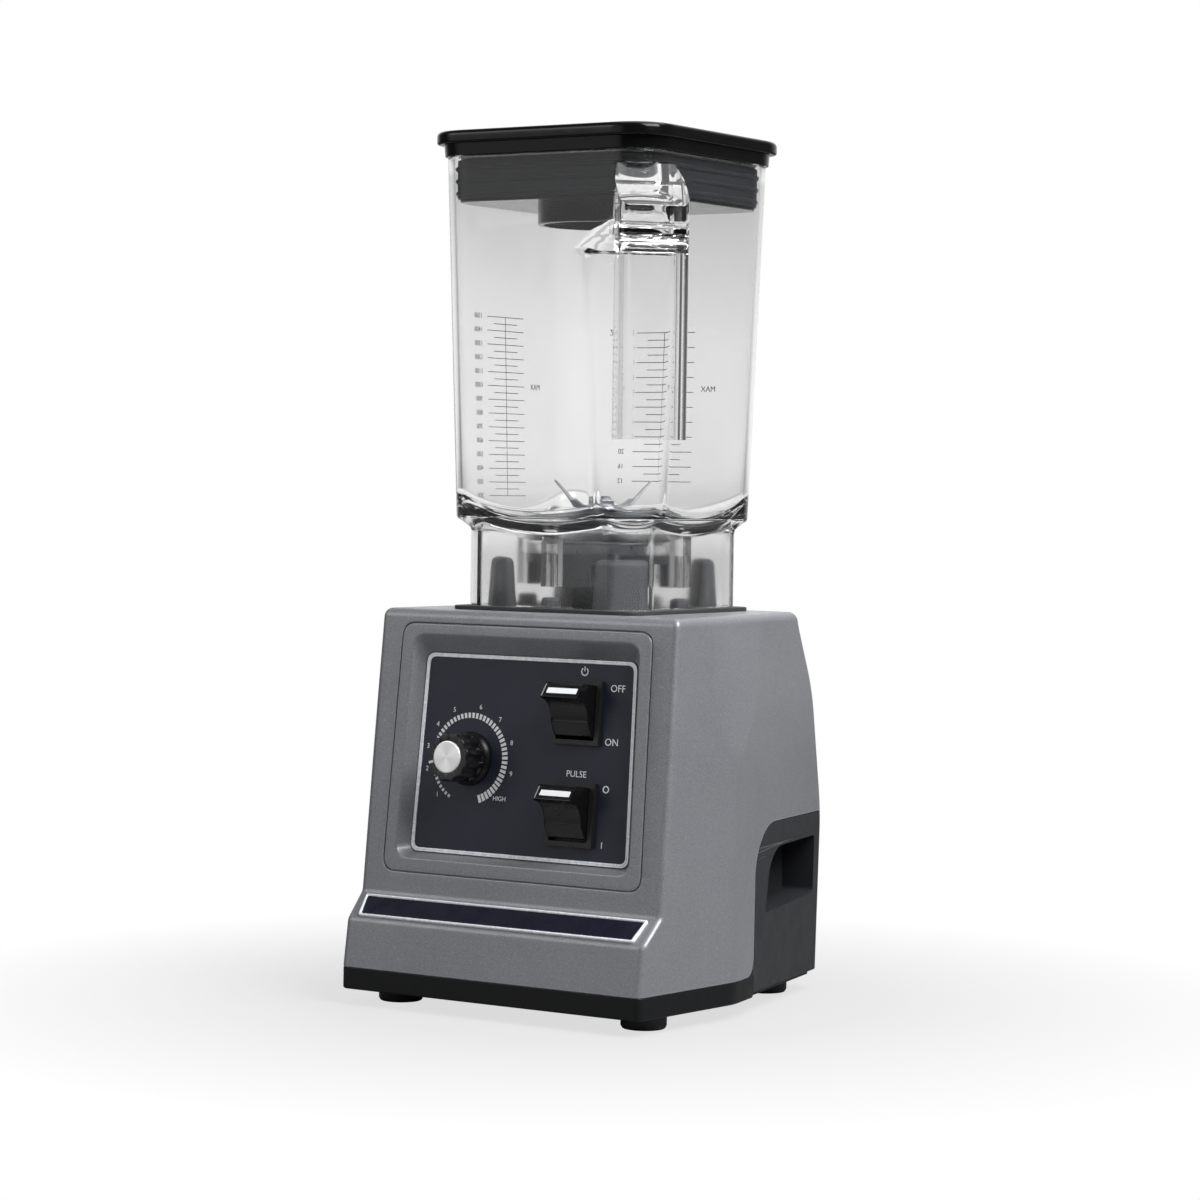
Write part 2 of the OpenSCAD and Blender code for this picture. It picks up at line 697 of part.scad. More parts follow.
// Side view of the paddle, up the face and out of it, from the pivot: a low lip, a scooped
// finger rest that rises to the tip, and a slanting end face
ridge = [-6, 11.3];
tip = [7.6, 24];
function paddle_profile() = let (low = body_height / 2 - 2.6, up = body_height / 2 - 1.3)
    concat([[-low + 1.5, -3], [-low, 0], [-low, 6.4]],
        [for (a = [0:15:90]) [ridge.x + (tip.x - ridge.x) * sin(a),
            tip.y - (tip.y - ridge.y) * cos(a)]],
        [[up + 0.6, tip.y - 5], [up, 7], [up - 1, -2], [4, -8], [-4, -8]]);
module rocker() {
    translate([0, 0, -pivot_sink]) {
        translate([-paddle_half, 0, 0]) rotate([90, 0, 90])
            linear_extrude(2 * paddle_half) polygon(paddle_profile());
        for (side = [-1, 1]) rotate([0, side * 90, 0])
            translate([0, 0, paddle_half - eps]) cylinder(r = 1.5, h = 1.4);
    }
}
module power_switch_body() {
    color([0.06, 0.06, 0.06]) on_front(switch_right, power_rise, panel_out) switch_body();
}
module pulse_switch_body() {
    color([0.06, 0.06, 0.06]) on_front(switch_right, pulse_rise, panel_out) switch_body();
}
module power_rocker() {
    color([0.08, 0.08, 0.08]) on_front(switch_right, power_rise, panel_out) rocker();
}
module pulse_rocker() {
    color([0.08, 0.08, 0.08]) on_front(switch_right, pulse_rise, panel_out) rocker();
}

// ---- Cord inlet and overload reset ----

module cord_gland() {
    color([0.05, 0.05, 0.05]) translate([gland_x, front_reach - 0.2, gland_z])
        rotate([90, 0, 0]) difference() {
            union() {
                cylinder(r = 9, h = 1.8);
                cylinder(r = gland_radius, h = 20);
                translate([0, 0, cover_wall + 0.3]) cylinder(r = 9, h = 4, $fn = 6);
            }
            translate([0, 0, -eps]) cylinder(r = gland_bore, h = 21);
        }
}
module reset_breaker() {
    color([0.12, 0.12, 0.12]) translate([-gland_x, front_reach - 0.2, gland_z])
        rotate([90, 0, 0]) difference() {
            union() {
                cylinder(r = 8, h = 1.8);
                cylinder(r = 6, h = 8);
                translate([-8, -7, cover_wall + 0.3]) cube([16, 14, 22]);
            }
            translate([0, 0, -eps]) cylinder(r = 3.5 + run_gap, h = 16);
        }
}
module reset_button() {
    color([0.65, 0.08, 0.06]) translate([-gland_x, front_reach - 0.4, gland_z])
        rotate([90, 0, 0]) cylinder(r = 3.5, h = 12);
}

// ---- Jar seat ----

collar_height = 11.9;
peg_reach = 52;        // pegs under the ribs, from the drive axis

module jar_pad() {
    color([0.1, 0.1, 0.1]) translate([0, 0, housing_top]) difference() {
        linear_extrude(pad_thick) polygon(soft_square(pad_width / 2, 11));
        translate([0, 0, -1]) cylinder(r = 18, h = 10);
    }
}
module centring_lugs() {
    half = lug_width / 2;
    deep = lug_reach - 13;
    color([0.12, 0.12, 0.12]) for (quarter = [0:3]) rotate([0, 0, 45 + 90 * quarter])
        loft([for (s = [[0, 0], [lug_height - 4, 1.6], [lug_height - 1, 2.8], [lug_height, 4.5]])
            let (g = s[1], z = pad_top + s[0])
            at_height(soft_outline([[deep + g, -half + 3 + g], [lug_reach - 7, -half + g],
                [lug_reach - g, -half + 8 + g], [lug_reach - g, half - 8 - g],
                [lug_reach - 7, half - g], [deep + g, half - 3 - g]],
                [1, 2, 2, 2, 2, 1], 2), z)]);
}
module pad_pegs() {
    color([0.12, 0.12, 0.12]) for (quarter = [0:3]) rotate([0, 0, 90 * quarter])
        translate([peg_reach, 0, pad_top]) {
            cylinder(r = 5.7, h = 4.5);
            translate([0, 0, 4.5 - eps]) cylinder(r1 = 5.7, r2 = 4.7, h = 1.5);
        }
}
module drive_collar() {
    color([0.06, 0.06, 0.06]) translate([0, 0, pad_top])
        ring(collar_radius, collar_radius - 5, collar_height);
}

// ---- Motor ----

stator_low = 118;
stator_top = stator_low + stator_height;
bolt_at = stator_width / 2 - 8;
core_radius = 27.4;
stator_bore = core_radius + 0.8;
plate_low = stator_low - 34;      // lower bracket
plate_thick = 10;
inner_top = housing_top - housing_wall - 2 * eps;
bracket_low = inner_top - 12;     // upper bracket
bearing_radius = 11;
bearing_height = 7;
commutator_radius = 13;
brush_z = plate_low + plate_thick + 9.5;
fan_low = plate_low - 26;
fan_height = 18;
shaft_low = fan_low - 2;
coupler_low = housing_top + 4;
coupler_height = 16;

module wedge(half_angle, reach, height) {
    linear_extrude(height) polygon([[0, 0], [reach, -reach * tan(half_angle)],
        [reach, reach * tan(half_angle)]]);
}
module upper_bracket() {
    color([0.62, 0.63, 0.64]) difference() {
        union() {
            translate([0, 0, bracket_low]) linear_extrude(inner_top - bracket_low)
                polygon(soft_square(stator_width / 2 - 1, 14));
            four_corners(bolt_at, bolt_at) translate([0, 0, stator_top])
                cylinder(r = 6.5, h = bracket_low - stator_top + 1);
        }
        translate([0, 0, bracket_low - 1]) cylinder(r = bearing_radius, h = bearing_height + 1);
        translate([0, 0, bracket_low]) cylinder(r = 8, h = 20);
        four_corners(bracket_bolt, bracket_bolt)
            translate([0, 0, bracket_low - 2]) cylinder(r = 1.9, h = 20);
        four_corners(bolt_at, bolt_at) translate([0, 0, stator_top - 1])
            cylinder(r = 2.6, h = inner_top - stator_top - 6);
    }
}
module lower_bracket() {
    color([0.62, 0.63, 0.64]) difference() {
        union() {
            translate([0, 0, plate_low]) linear_extrude(plate_thick) {
                for (turn = [45, -45]) rotate(turn)
                    square([2 * bolt_at * sqrt(2) + 5, 11], center = true);
                circle(r = 17);
                square([70, 13], center = true);
            }
            four_corners(bolt_at, bolt_at) translate([0, 0, plate_low])
                cylinder(r = 6.5, h = stator_low - plate_low);
        }
        translate([0, 0, plate_low + 2]) cylinder(r = bearing_radius, h = 20);
        translate([0, 0, plate_low - 1]) cylinder(r = 8, h = 20);
        four_corners(bolt_at, bolt_at) translate([0, 0, plate_low - 1])
            cylinder(r = 2.6, h = 60);
    }
}
module motor_bolts() {
    color([0.7, 0.71, 0.72]) four_corners(bolt_at, bolt_at) {
        translate([0, 0, plate_low - 3.5]) cylinder(r = 4.5, h = 3.5, $fn = 6);
        translate([0, 0, plate_low - eps]) cylinder(r = 2.5, h = bracket_low - plate_low + 4);
    }
}
module stator_core() {
    color([0.35, 0.36, 0.38]) difference() {
        translate([0, 0, stator_low]) linear_extrude(stator_height)
            polygon(soft_square(stator_width / 2, 10));
        translate([0, 0, stator_low - 1]) cylinder(r = stator_bore, h = stator_height + 2);
        four_corners(bolt_at, bolt_at) translate([0, 0, stator_low - 1])
            cylinder(r = 2.6, h = stator_height + 2);
        for (turn = [0:3]) rotate([0, 0, 45 + 90 * turn]) intersection() {
            translate([0, 0, stator_low - 1]) ring(stator_bore + 8.6, stator_bore - 1,
                stator_height + 2);
            translate([0, 0, stator_low - 1]) wedge(9.5, 60, stator_height + 2);
        }
    }
}
module field_coils() {
    rise = 9;
    color([0.65, 0.36, 0.16]) for (turn = [0, 180]) rotate([0, 0, turn]) difference() {
        intersection() {
            translate([0, 0, stator_low - rise])
                ring(stator_bore + 8.2, stator_bore + 1, stator_height + 2 * rise);
            translate([0, 0, stator_low - rise]) wedge(53.5, 100, stator_height + 2 * rise);
        }
        translate([0, 0, stator_low - 0.4]) wedge(36.5, 60, stator_height + 0.8);
    }
}
module bearing(outer, inner, height) {
    difference() {
        cylinder(r = outer, h = height);
        translate([0, 0, -1]) cylinder(r = inner, h = height + 2);
        for (z = [-1, height - 0.6]) translate([0, 0, z])
            ring(outer - 1.6, inner + 1.6, 1.6);
    }
}
module upper_bearing() {
    color([0.72, 0.73, 0.75]) translate([0, 0, bracket_low])
        bearing(bearing_radius - 0.02, shaft_radius + run_gap, bearing_height);
}
module lower_bearing() {
    color([0.72, 0.73, 0.75]) translate([0, 0, plate_low + 2])
        bearing(bearing_radius - 0.02, shaft_radius + run_gap, bearing_height);
}
module brush_holders() {
    low = plate_low + plate_thick;
    color([0.76, 0.62, 0.3]) for (side = [-1, 1]) scale([side, 1, 1]) difference() {
        translate([16, -5.5, low]) cube([18, 11, 15]);
        translate([10, -3.3, brush_z - 3.8]) cube([22, 6.6, 7.6]);
    }
}
module carbon_brushes() {
    color([0.16, 0.16, 0.17]) for (side = [-1, 1]) scale([side, 1, 1])
        translate([commutator_radius + seat_gap, -3, brush_z - 3.5]) cube([12, 6, 7]);
    // Springs that press the brushes in
    color([0.7, 0.7, 0.7]) for (side = [-1, 1]) scale([side, 1, 1])
        translate([commutator_radius + seat_gap + 12 - eps, 0, brush_z]) rotate([0, 90, 0])
            cylinder(r = 2.2, h = 32 - commutator_radius - 12 - seat_gap - 0.2);
}
module fan_duct() {
    color([0.16, 0.16, 0.17]) difference() {
        translate([0, 0, cover_low]) ring(fan_radius + 6, fan_radius + 4, 66);
        translate([-28, 0, cover_low + 14]) cube([56, 80, 60]);
        for (side = [-1, 1]) translate([side * 60 - 10, -12, cover_low + 60]) cube([20, 24, 10]);
    }
}
module motor_shaft() {
    color([0.78, 0.79, 0.8]) translate([0, 0, shaft_low])
        cylinder(r = shaft_radius, h = coupler_low + coupler_height - 2 - shaft_low);
}
module armature_core() {
    slots = 12;
    color([0.4, 0.41, 0.43]) translate([0, 0, stator_low + 3]) difference() {
        cylinder(r = core_radius, h = stator_height - 6);
        translate([0, 0, -1]) cylinder(r = shaft_radius + 0.02, h = stator_height);
        for (k = [0:slots - 1]) rotate([0, 0, 360 * k / slots]) {
            translate([core_radius - 6, -1.2, -1]) cube([10, 2.4, stator_height]);
            translate([core_radius - 7, 0, -1]) cylinder(r = 2.6, h = stator_height, $fn = 24);
        }
    }
}
module armature_windings() {
    color([0.7, 0.4, 0.18]) for (z = [stator_low - 5, stator_top - 3]) translate([0, 0, z])
        rotate_extrude() polygon([[9, 0], [19, 0], [23, 2.5], [23, 5.5], [19, 8], [9, 8]]);
    color([0.7, 0.4, 0.18]) for (z = [stator_low - 5, stator_top - 3]) translate([0, 0, z])
        ring(9 + eps, shaft_radius + 0.02, 8);
}
module commutator() {
    bars = 24;
    low = brush_z - 6.5;
    color([0.72, 0.45, 0.22]) translate([0, 0, low]) difference() {
        cylinder(r = commutator_radius, h = 12);
        translate([0, 0, -1]) cylinder(r = shaft_radius + 0.02, h = 20);
        for (k = [0:bars - 1]) rotate([0, 0, 360 * k / bars])
            translate([commutator_radius - 0.8, -0.2, -1]) cube([2, 0.4, 14]);
    }
}
module cooling_fan() {
    vanes = 14;
    color([0.14, 0.14, 0.15]) translate([0, 0, fan_low]) difference() {
        union() {
            cylinder(r = 10, h = fan_height);
            translate([0, 0, fan_height - 2]) cylinder(r = fan_radius, h = 2);
            for (k = [0:vanes - 1]) rotate([0, 0, 360 * k / vanes])
                translate([14, 0, 0]) rotate([0, 0, -32])
                    cube([fan_radius - 17, 1.6, fan_height - 2 + eps]);
        }
        translate([0, 0, -1]) cylinder(r = shaft_radius + 0.02, h = fan_height + 2);
    }
}
// A six-lobed drive outline, so that the socket drops on in any of six positions
function lobes(radius, depth) = [for (a = [0:6:354])
    (radius + depth * cos(6 * a)) * [cos(a), sin(a)]];
module drive_coupler() {
    color([0.55, 0.56, 0.58]) translate([0, 0, coupler_low]) difference() {
        union() {
            cylinder(r = 16, h = 4.4);
            linear_extrude(coupler_height) polygon(lobes(9.4, 1.4));
        }
        translate([0, 0, -1]) cylinder(r = shaft_radius + 0.02, h = coupler_height - 1);
    }
}

// ---- Jar ----

floor_z = seat + floor_rise;            // lowest point of the jar's inside
bowl_radius = 150;
bowl_wall = 4.5;
bowl_z = floor_z + bowl_radius;
skirt_wall = 3.2;
skirt_chamfer = 18;
skirt_top = jar_foot - 7.6;
jar_lean = (jar_top_width - jar_foot_width) / 2 / (jar_rim - jar_foot);
recess_top = jar_rim - 58;
hub_radius = 25;
flange_radius = 33;
nut_radius = 44;
nut_low = seat + 12;
nut_top = floor_z - 6;
arm_low = jar_rim - 48;
arm_top = jar_rim - 9;
shoulder_z = arm_top - 26;
grip_low = shoulder_z - handle_length;
arm_reach = 98;        // where the arm leaves the jar's corner and begins to widen

function jar_half(z) = jar_foot_width / 2 + jar_lean * (z - jar_foot);
function jar_ring(z, inset) = at_height(soft_square(jar_half(z) - inset,
    lookup(z, [[jar_foot, 21], [jar_rim, 26]]) - inset), z);
function skirt_ring(z, inset) = at_height(soft_square(skirt_width / 2 + 1.5 - inset,
    skirt_chamfer - 0.6 * inset, 0.12), z);

// The space in front of the flat finger recess in the handle's corner
module finger_space(reach, top) {
    on_handle_corner() rotate([90, 0, 0]) linear_extrude(120, center = true)
        polygon([[reach, jar_foot - 30], [reach, top], [reach + 26, top + 13],
            [reach + 60, top + 13], [reach + 60, jar_foot - 30]]);
}
module handle() {
    outer = handle_reach;
    inner = handle_reach - handle_depth;
    half = handle_width / 2;
    root = half - 5;
    on_handle_corner() difference() {
        intersection() {
            rotate([90, 0, 0]) linear_extrude(handle_width, center = true)
                polygon(concat([[84, arm_low], [96, arm_low]],
                    [for (a = [90:-15:0]) [96 + (inner - 96) * sin(90 - a),
                        arm_low - 18 * (1 - cos(90 - a))]],
                    [[inner, grip_low], [outer, grip_low], [outer, shoulder_z]],
                    [for (a = [15:15:75]) [outer - 9 * (1 - cos(a)), shoulder_z + 9 * sin(a)]],
                    [[102, arm_top], [84, arm_top + 3]]));
            linear_extrude(jar_rim) polygon(soft_outline([[60, -root], [arm_reach, -root],
                [inner, -half], [outer, -half], [outer, half], [inner, half],
                [arm_reach, root], [60, root]], [1, 4, 4, 9, 9, 4, 4, 1], corner_steps));
        }
        // Channel in the back of the grip
        translate([0, 0, grip_low - 1]) linear_extrude(arm_low - grip_low - 12)
            polygon(soft_outline([[inner - 3, 4 - half], [outer - 4, 4 - half],
                [outer - 4, half - 4], [inner - 3, half - 4]], [1, 4, 4, 1], 3));
        // Upright slot through the arm
        translate([arm_reach + 6.5, 50, arm_low + 17.5]) rotate([90, 0, 0]) rotate([0, 0, 90])
            slot(21, 9, 100);
    }
}
module jar_body() {
    color([0.86, 0.9, 0.93, 0.4]) difference() {
        union() {
            difference() {
                loft([jar_ring(jar_foot, 0), jar_ring(jar_rim, 0)]);
                finger_space(recess_reach, recess_top);
            }
            loft([skirt_ring(skirt_top - 2, 0), skirt_ring(skirt_top, 0), jar_ring(jar_foot, 0)]);
            translate([0, 0, seat]) linear_extrude(skirt_top - seat)
                polygon([for (p = skirt_ring(0, 0)) [p.x, p.y]]);
            handle();
        }
        // Inside of the jar above the bowl
        intersection() {
            difference() {
                loft([jar_ring(jar_foot - 25, jar_wall), jar_ring(jar_rim + 2, jar_wall)]);
                finger_space(recess_reach - jar_wall, recess_top + jar_wall);
            }
            translate([0, 0, bowl_z]) {
                sphere(r = bowl_radius, $fn = 96);
                cylinder(r = bowl_radius, h = 200, $fn = 96);
            }
        }
        // Seat of the blade hub and its hole
        translate([0, 0, floor_z]) cylinder(r = flange_radius + 0.6, h = 12);
        translate([0, 0, floor_z - 20]) cylinder(r = hub_radius + 0.2, h = 30);
        // Inside of the skirt, up to the underside of the bowl
        difference() {
            translate([0, 0, seat - 1]) linear_extrude(skirt_top - seat + 12)
                polygon([for (p = skirt_ring(0, skirt_wall)) [p.x, p.y]]);
            translate([0, 0, bowl_z]) sphere(r = bowl_radius + bowl_wall, $fn = 96);
            translate([0, 0, nut_top]) cylinder(r = nut_radius, h = 30);
            for (quarter = [0:3]) rotate([0, 0, 90 * quarter]) translate([peg_reach, 0, seat + 12])
                difference() {
                    translate([-4.5, -4.5, 0]) cube([9, 9, 60]);
                    translate([0, 0, -1]) cylinder(r = 2.4, h = 20);
                }
        }
    }
}

module retainer_nut() {
    lugs = 4;
    color([0.11, 0.12, 0.13]) difference() {
        union() {
            translate([0, 0, nut_top - 5]) cylinder(r = nut_radius, h = 5);
            for (k = [0:lugs - 1]) rotate([0, 0, 12 + 360 * k / lugs]) intersection() {
                translate([0, 0, nut_low]) ring(nut_radius, nut_radius - 6, nut_top - nut_low);
                translate([0, 0, nut_low]) wedge(13, 60, nut_top - nut_low);
            }
        }
        translate([0, 0, nut_low - 1]) cylinder(r = hub_radius + 0.2, h = 40);
    }
}
bearing_low = seat + 25;
jar_bearing_radius = 13;
jar_bearing_height = 7.6;
jar_bearing_pitch = 8.2;
seal_low = bearing_low + jar_bearing_pitch + jar_bearing_height + 2 * run_gap;
module blade_hub() {
    color([0.5, 0.52, 0.54]) difference() {
        union() {
            translate([0, 0, nut_low + 0.4]) cylinder(r = hub_radius, h = floor_z - nut_low + 1);
            translate([0, 0, floor_z + 1]) cylinder(r = flange_radius, h = 3);
            translate([0, 0, floor_z + 4 - eps]) cylinder(r1 = 22, r2 = 16, h = 4);
        }
        translate([0, 0, nut_low - 1]) cylinder(r = 17, h = bearing_low - nut_low + 1);
        translate([0, 0, nut_low]) cylinder(r = jar_bearing_radius, h = seal_low - nut_low);
        translate([0, 0, nut_low]) cylinder(r = 9, h = 60);
    }
}
module hub_gasket() {
    color([0.15, 0.15, 0.15]) translate([0, 0, floor_z])
        ring(flange_radius, hub_radius + 0.1, 1);
}
module jar_bearings() {
    color([0.72, 0.73, 0.75]) for (k = [0, 1])
        translate([0, 0, bearing_low + k * jar_bearing_pitch])
            bearing(jar_bearing_radius - 0.02, blade_shaft_radius + run_gap, jar_bearing_height);
}
module shaft_seal() {
    color([0.1, 0.1, 0.1]) translate([0, 0, seal_low])
        ring(8.98, blade_shaft_radius + run_gap, 3.2);
}

// ---- Blades ----

wing_low = floor_z + 14.8;
wing_thick = 2;
socket_low = seat + 8.4;

module blade_shaft() {
    color([0.78, 0.79, 0.8]) {
        translate([0, 0, bearing_low - 0.4])
            cylinder(r = blade_shaft_radius, h = wing_low - bearing_low + 0.3);
        translate([0, 0, wing_low - eps - 0.1])
            cylinder(r = blade_shaft_radius - 1, h = 3 * wing_thick + 4);
    }
}
module drive_socket() {
    color([0.3, 0.31, 0.32]) translate([0, 0, socket_low]) difference() {
        cylinder(r = 15.4, h = bearing_low - socket_low - 0.5);
        translate([0, 0, -1]) linear_extrude(bearing_low - socket_low - 3)
            polygon(lobes(10, 1.4));
    }
}
// One wing: it runs out flat, then turns up or down, and tapers to a swept tip
module wing(reach, bend, turn) {
    root = 5.5;
    flat = 13;
    stations = 7;
    loft([for (k = [0:stations]) let (
            s = k / stations,
            along = root + (reach - root) * s,
            past = max(0, along - flat),
            half = 6.2 - 3.6 * s * s,
            sweep = 5 * s * s,
            lift = past * tan(bend * min(1, past / 5)),
            thin = wing_thick / 2 * (1 - 0.5 * s))
        [[along, sweep - half, lift - 0.3], [along, sweep + half * 0.3, lift - thin],
            [along, sweep + half, lift - thin], [along, sweep + half, lift + thin],
            [along, sweep + half * 0.3, lift + thin], [along, sweep - half, lift + 0.3]]]);
}
module wing_pair(reach, bend, level, turn) {
    translate([0, 0, wing_low + wing_thick * (level + 0.5) + 0.1 * level]) rotate([0, 0, turn])
        difference() {
            union() {
                for (half_turn = [0, 180]) rotate([0, 0, half_turn]) wing(reach, bend);
                translate([0, 0, -wing_thick / 2]) cylinder(r = 8.5, h = wing_thick);
            }
            translate([0, 0, -5]) cylinder(r = blade_shaft_radius - 1 + 0.02, h = 10);
        }
}
module upper_blades() {
    color([0.82, 0.83, 0.85]) {
        wing_pair(blade_reach - 6, 50, 2, 20);
        wing_pair(blade_reach - 3, 25, 1, 80);
    }
}
module lower_blades() {
    color([0.82, 0.83, 0.85]) wing_pair(blade_reach, -14, 0, 140);
}
module blade_nut() {
    color([0.78, 0.79, 0.8]) translate([0, 0, wing_low + 3 * wing_thick + 0.3]) difference() {
        union() {
            cylinder(r = 7, h = 4.5, $fn = 6);
            translate([0, 0, 4.5 - eps]) cylinder(r1 = 5.8, r2 = 3, h = 2.2);
        }
        translate([0, 0, -1]) cylinder(r = blade_shaft_radius - 1 + 0.02, h = 5);
    }
}

// ---- Lid ----

band_low = jar_rim + seat_gap;
flange_low = band_low + lid_band;
flange_top = flange_low + lid_thick;
plug_low = jar_rim - plug_depth;
plug_half = jar_top_width / 2 - jar_wall - 3.7;
neck_inner = neck_radius - 3.6;
neck_low = plug_low - neck_drop;
neck_top = jar_rim + 1;

module lid() {
    half = lid_width / 2;
    color([0.04, 0.04, 0.04]) difference() {
        union() {
            loft([for (s = [[0, 1.2], [1.2, 0], [lid_thick - 2.6, 0], [lid_thick - 0.9, 1],
                    [lid_thick, 3.2]])
                at_height(soft_square(half - s[1], 27 - s[1]), flange_low + s[0])]);
            loft([at_height(soft_square(half - 4, 26), band_low),
                at_height(soft_square(half - 3.2, 26), flange_low + 1.3)]);
            translate([0, 0, plug_low]) linear_extrude(flange_low - plug_low)
                polygon(soft_square(plug_half, 19));
            translate([0, 0, neck_low]) cylinder(r = neck_radius, h = 30);
        }
        // Sunk middle of the lid round the filler neck
        difference() {
            loft([at_height(soft_square(plug_half - 3, 16), plug_low + 3),
                at_height(soft_square(plug_half - 1, 18), flange_top + 1)]);
            translate([0, 0, neck_low]) cylinder(r = neck_radius, h = neck_top - neck_low);
        }
        translate([0, 0, neck_low - 1]) cylinder(r = neck_inner, h = 100);
    }
}
module lid_seal() {
    ribs = 3;
    base = plug_low + 2;
    module seal_ring(outer, z, height) {
        translate([0, 0, z]) linear_extrude(height) difference() {
            polygon(soft_square(outer, 20 + outer - plug_half));
            polygon(soft_square(plug_half + 0.02, 19));
        }
    }
    color([0.16, 0.17, 0.18]) {
        seal_ring(plug_half + 1.6, base, plug_depth - 4);
        for (k = [0:ribs - 1])
            seal_ring(jar_half(base + k * 7) - jar_wall - 0.4, base + 2 + k * 7, 2);
    }
}
module lid_cap() {
    color([0.05, 0.05, 0.05]) difference() {
        union() {
            translate([0, 0, neck_low + 2]) cylinder(r = neck_inner - seat_gap,
                h = neck_top - neck_low);
            translate([0, 0, neck_top + seat_gap]) cylinder(r = neck_radius + 1.5, h = 3.4);
            translate([0, 0, neck_top + seat_gap + 3.4 - eps])
                cylinder(r1 = neck_radius + 1.5, r2 = neck_radius, h = 1.4);
            translate([0, 0, neck_top + 5]) slot(2 * neck_radius - 12, 9, 6.5);
        }
        translate([0, 0, neck_low - 1]) cylinder(r = neck_inner - 2.6, h = neck_top - neck_low + 1);
    }
}

main_housing();
control_bezel();
control_panel();
panel_border();
name_plate();
name_trim();
bottom_cover();
rear_cover();
feet();
foot_screws();
base_screws();
cover_screws();
jar_pad();
centring_lugs();
pad_pegs();
drive_collar();
upper_bracket();
lower_bracket();
motor_bolts();
bracket_screws();
stator_core();
field_coils();
upper_bearing();
lower_bearing();
brush_holders();
carbon_brushes();
fan_duct();
motor_shaft();
armature_core();
armature_windings();
commutator();
cooling_fan();
drive_coupler();
speed_board();
potentiometer();
knob_shaft();
speed_knob();
knob_disc_cap();
power_switch_body();
power_rocker();
pulse_switch_body();
pulse_rocker();
cord_gland();
reset_breaker();
reset_button();
jar_body();
retainer_nut();
blade_hub();
hub_gasket();
jar_bearings();
shaft_seal();
blade_shaft();
drive_socket();
upper_blades();
lower_blades();
blade_nut();
lid();
lid_seal();
lid_cap();
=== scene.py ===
"""Dresses the frame of a countertop blender: shells, switches, a clear jar, prints and light.

Sizes in the drawing functions are in millimetres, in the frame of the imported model: X to the
right of someone at the controls, Y away from them, Z up from the worktop.
"""
import math

import bmesh
import bpy
import numpy as np
from bpy.props import FloatProperty, FloatVectorProperty, IntProperty, PointerProperty
from mathutils import Matrix


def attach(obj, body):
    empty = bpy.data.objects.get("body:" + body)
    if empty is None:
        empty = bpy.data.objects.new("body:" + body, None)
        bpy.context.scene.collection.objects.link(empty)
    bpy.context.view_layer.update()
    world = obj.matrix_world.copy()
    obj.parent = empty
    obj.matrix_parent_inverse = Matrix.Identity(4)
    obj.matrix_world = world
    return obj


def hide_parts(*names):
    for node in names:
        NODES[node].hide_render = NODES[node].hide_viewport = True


bl_info = {
    "name": "Countertop blender finish",
    "version": (1, 0, 0),
    "blender": (4, 5, 0),
    "location": "View3D > Sidebar > Blender jug",
    "description": "Builds the finished surfaces of a countertop blender on its frame",
    "category": "Object",
}

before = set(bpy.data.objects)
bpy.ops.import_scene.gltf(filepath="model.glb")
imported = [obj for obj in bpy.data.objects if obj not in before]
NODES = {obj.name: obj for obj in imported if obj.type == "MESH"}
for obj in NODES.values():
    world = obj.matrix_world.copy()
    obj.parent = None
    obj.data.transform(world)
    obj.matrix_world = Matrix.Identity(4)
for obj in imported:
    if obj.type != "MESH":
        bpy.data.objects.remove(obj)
MM = 0.001

# ---- Sizes shared with the frame, in millimetres ----

# Heights of the base: foot band, toe, ledge, rear cover, fold, shoulder and top.
BAND_LOW, BAND_TOP, TOE_TOP, LEDGE_TOP = 9.0, 21.7, 49.4, 64.0
COVER_LOW, COVER_TOP, FOLD_TOP, SHOULDER, HOUSING_TOP = 12.0, 108.3, 149.0, 182.0, 229.0

# Each line of the base's plan as (height, distance from the axis) pairs, the corner setback at
# the fold, and how far up and down each line's bends are eased.
TOE_REACH, LEDGE_REACH, TOP_REACH = 110.0, 94.8, 78.4
FRONT = [(BAND_TOP, 114.0), (TOE_TOP, TOE_REACH), (LEDGE_TOP, LEDGE_REACH),
         (HOUSING_TOP, TOP_REACH)]
REAR = [(BAND_LOW, 114.0), (COVER_TOP, 113.4), (SHOULDER, 97.0), (HOUSING_TOP, 72.0)]
REAR_HALF = [(BAND_LOW, 84.5), (COVER_TOP, 87.0), (SHOULDER, 89.3), (HOUSING_TOP, 91.5)]
MIDDLE_HALF = [(FOLD_TOP, 111.0), (SHOULDER, 107.0), (HOUSING_TOP, 97.5)]
MIDDLE_Y = [(FOLD_TOP, -25.0), (HOUSING_TOP, -8.0)]
FOLD_SETBACK = [(FOLD_TOP, 6.0), (SHOULDER, 30.0), (HOUSING_TOP, 34.0)]
FRONT_EASE, REAR_EASE, SIDE_EASE, FOLD_EASE = 1.6, 12.0, 9.0, 6.0

# The sides' half width at y = SIDE_Y and the band's top, its gain back and its loss upwards,
# the front corners' setback, the round of the top edge and the housing's wall.
SIDE_HALF, SIDE_Y = 111.5, -25.0
SIDE_SLOPE, SIDE_LEAN = 9 / 89, math.tan(math.radians(1.06))
NEAR_SETBACK, LEAST_SETBACK = 4.5, 1.5
EDGE, SHELL_WALL = 5.0, 4.0
ACROSS = (-150, 150)

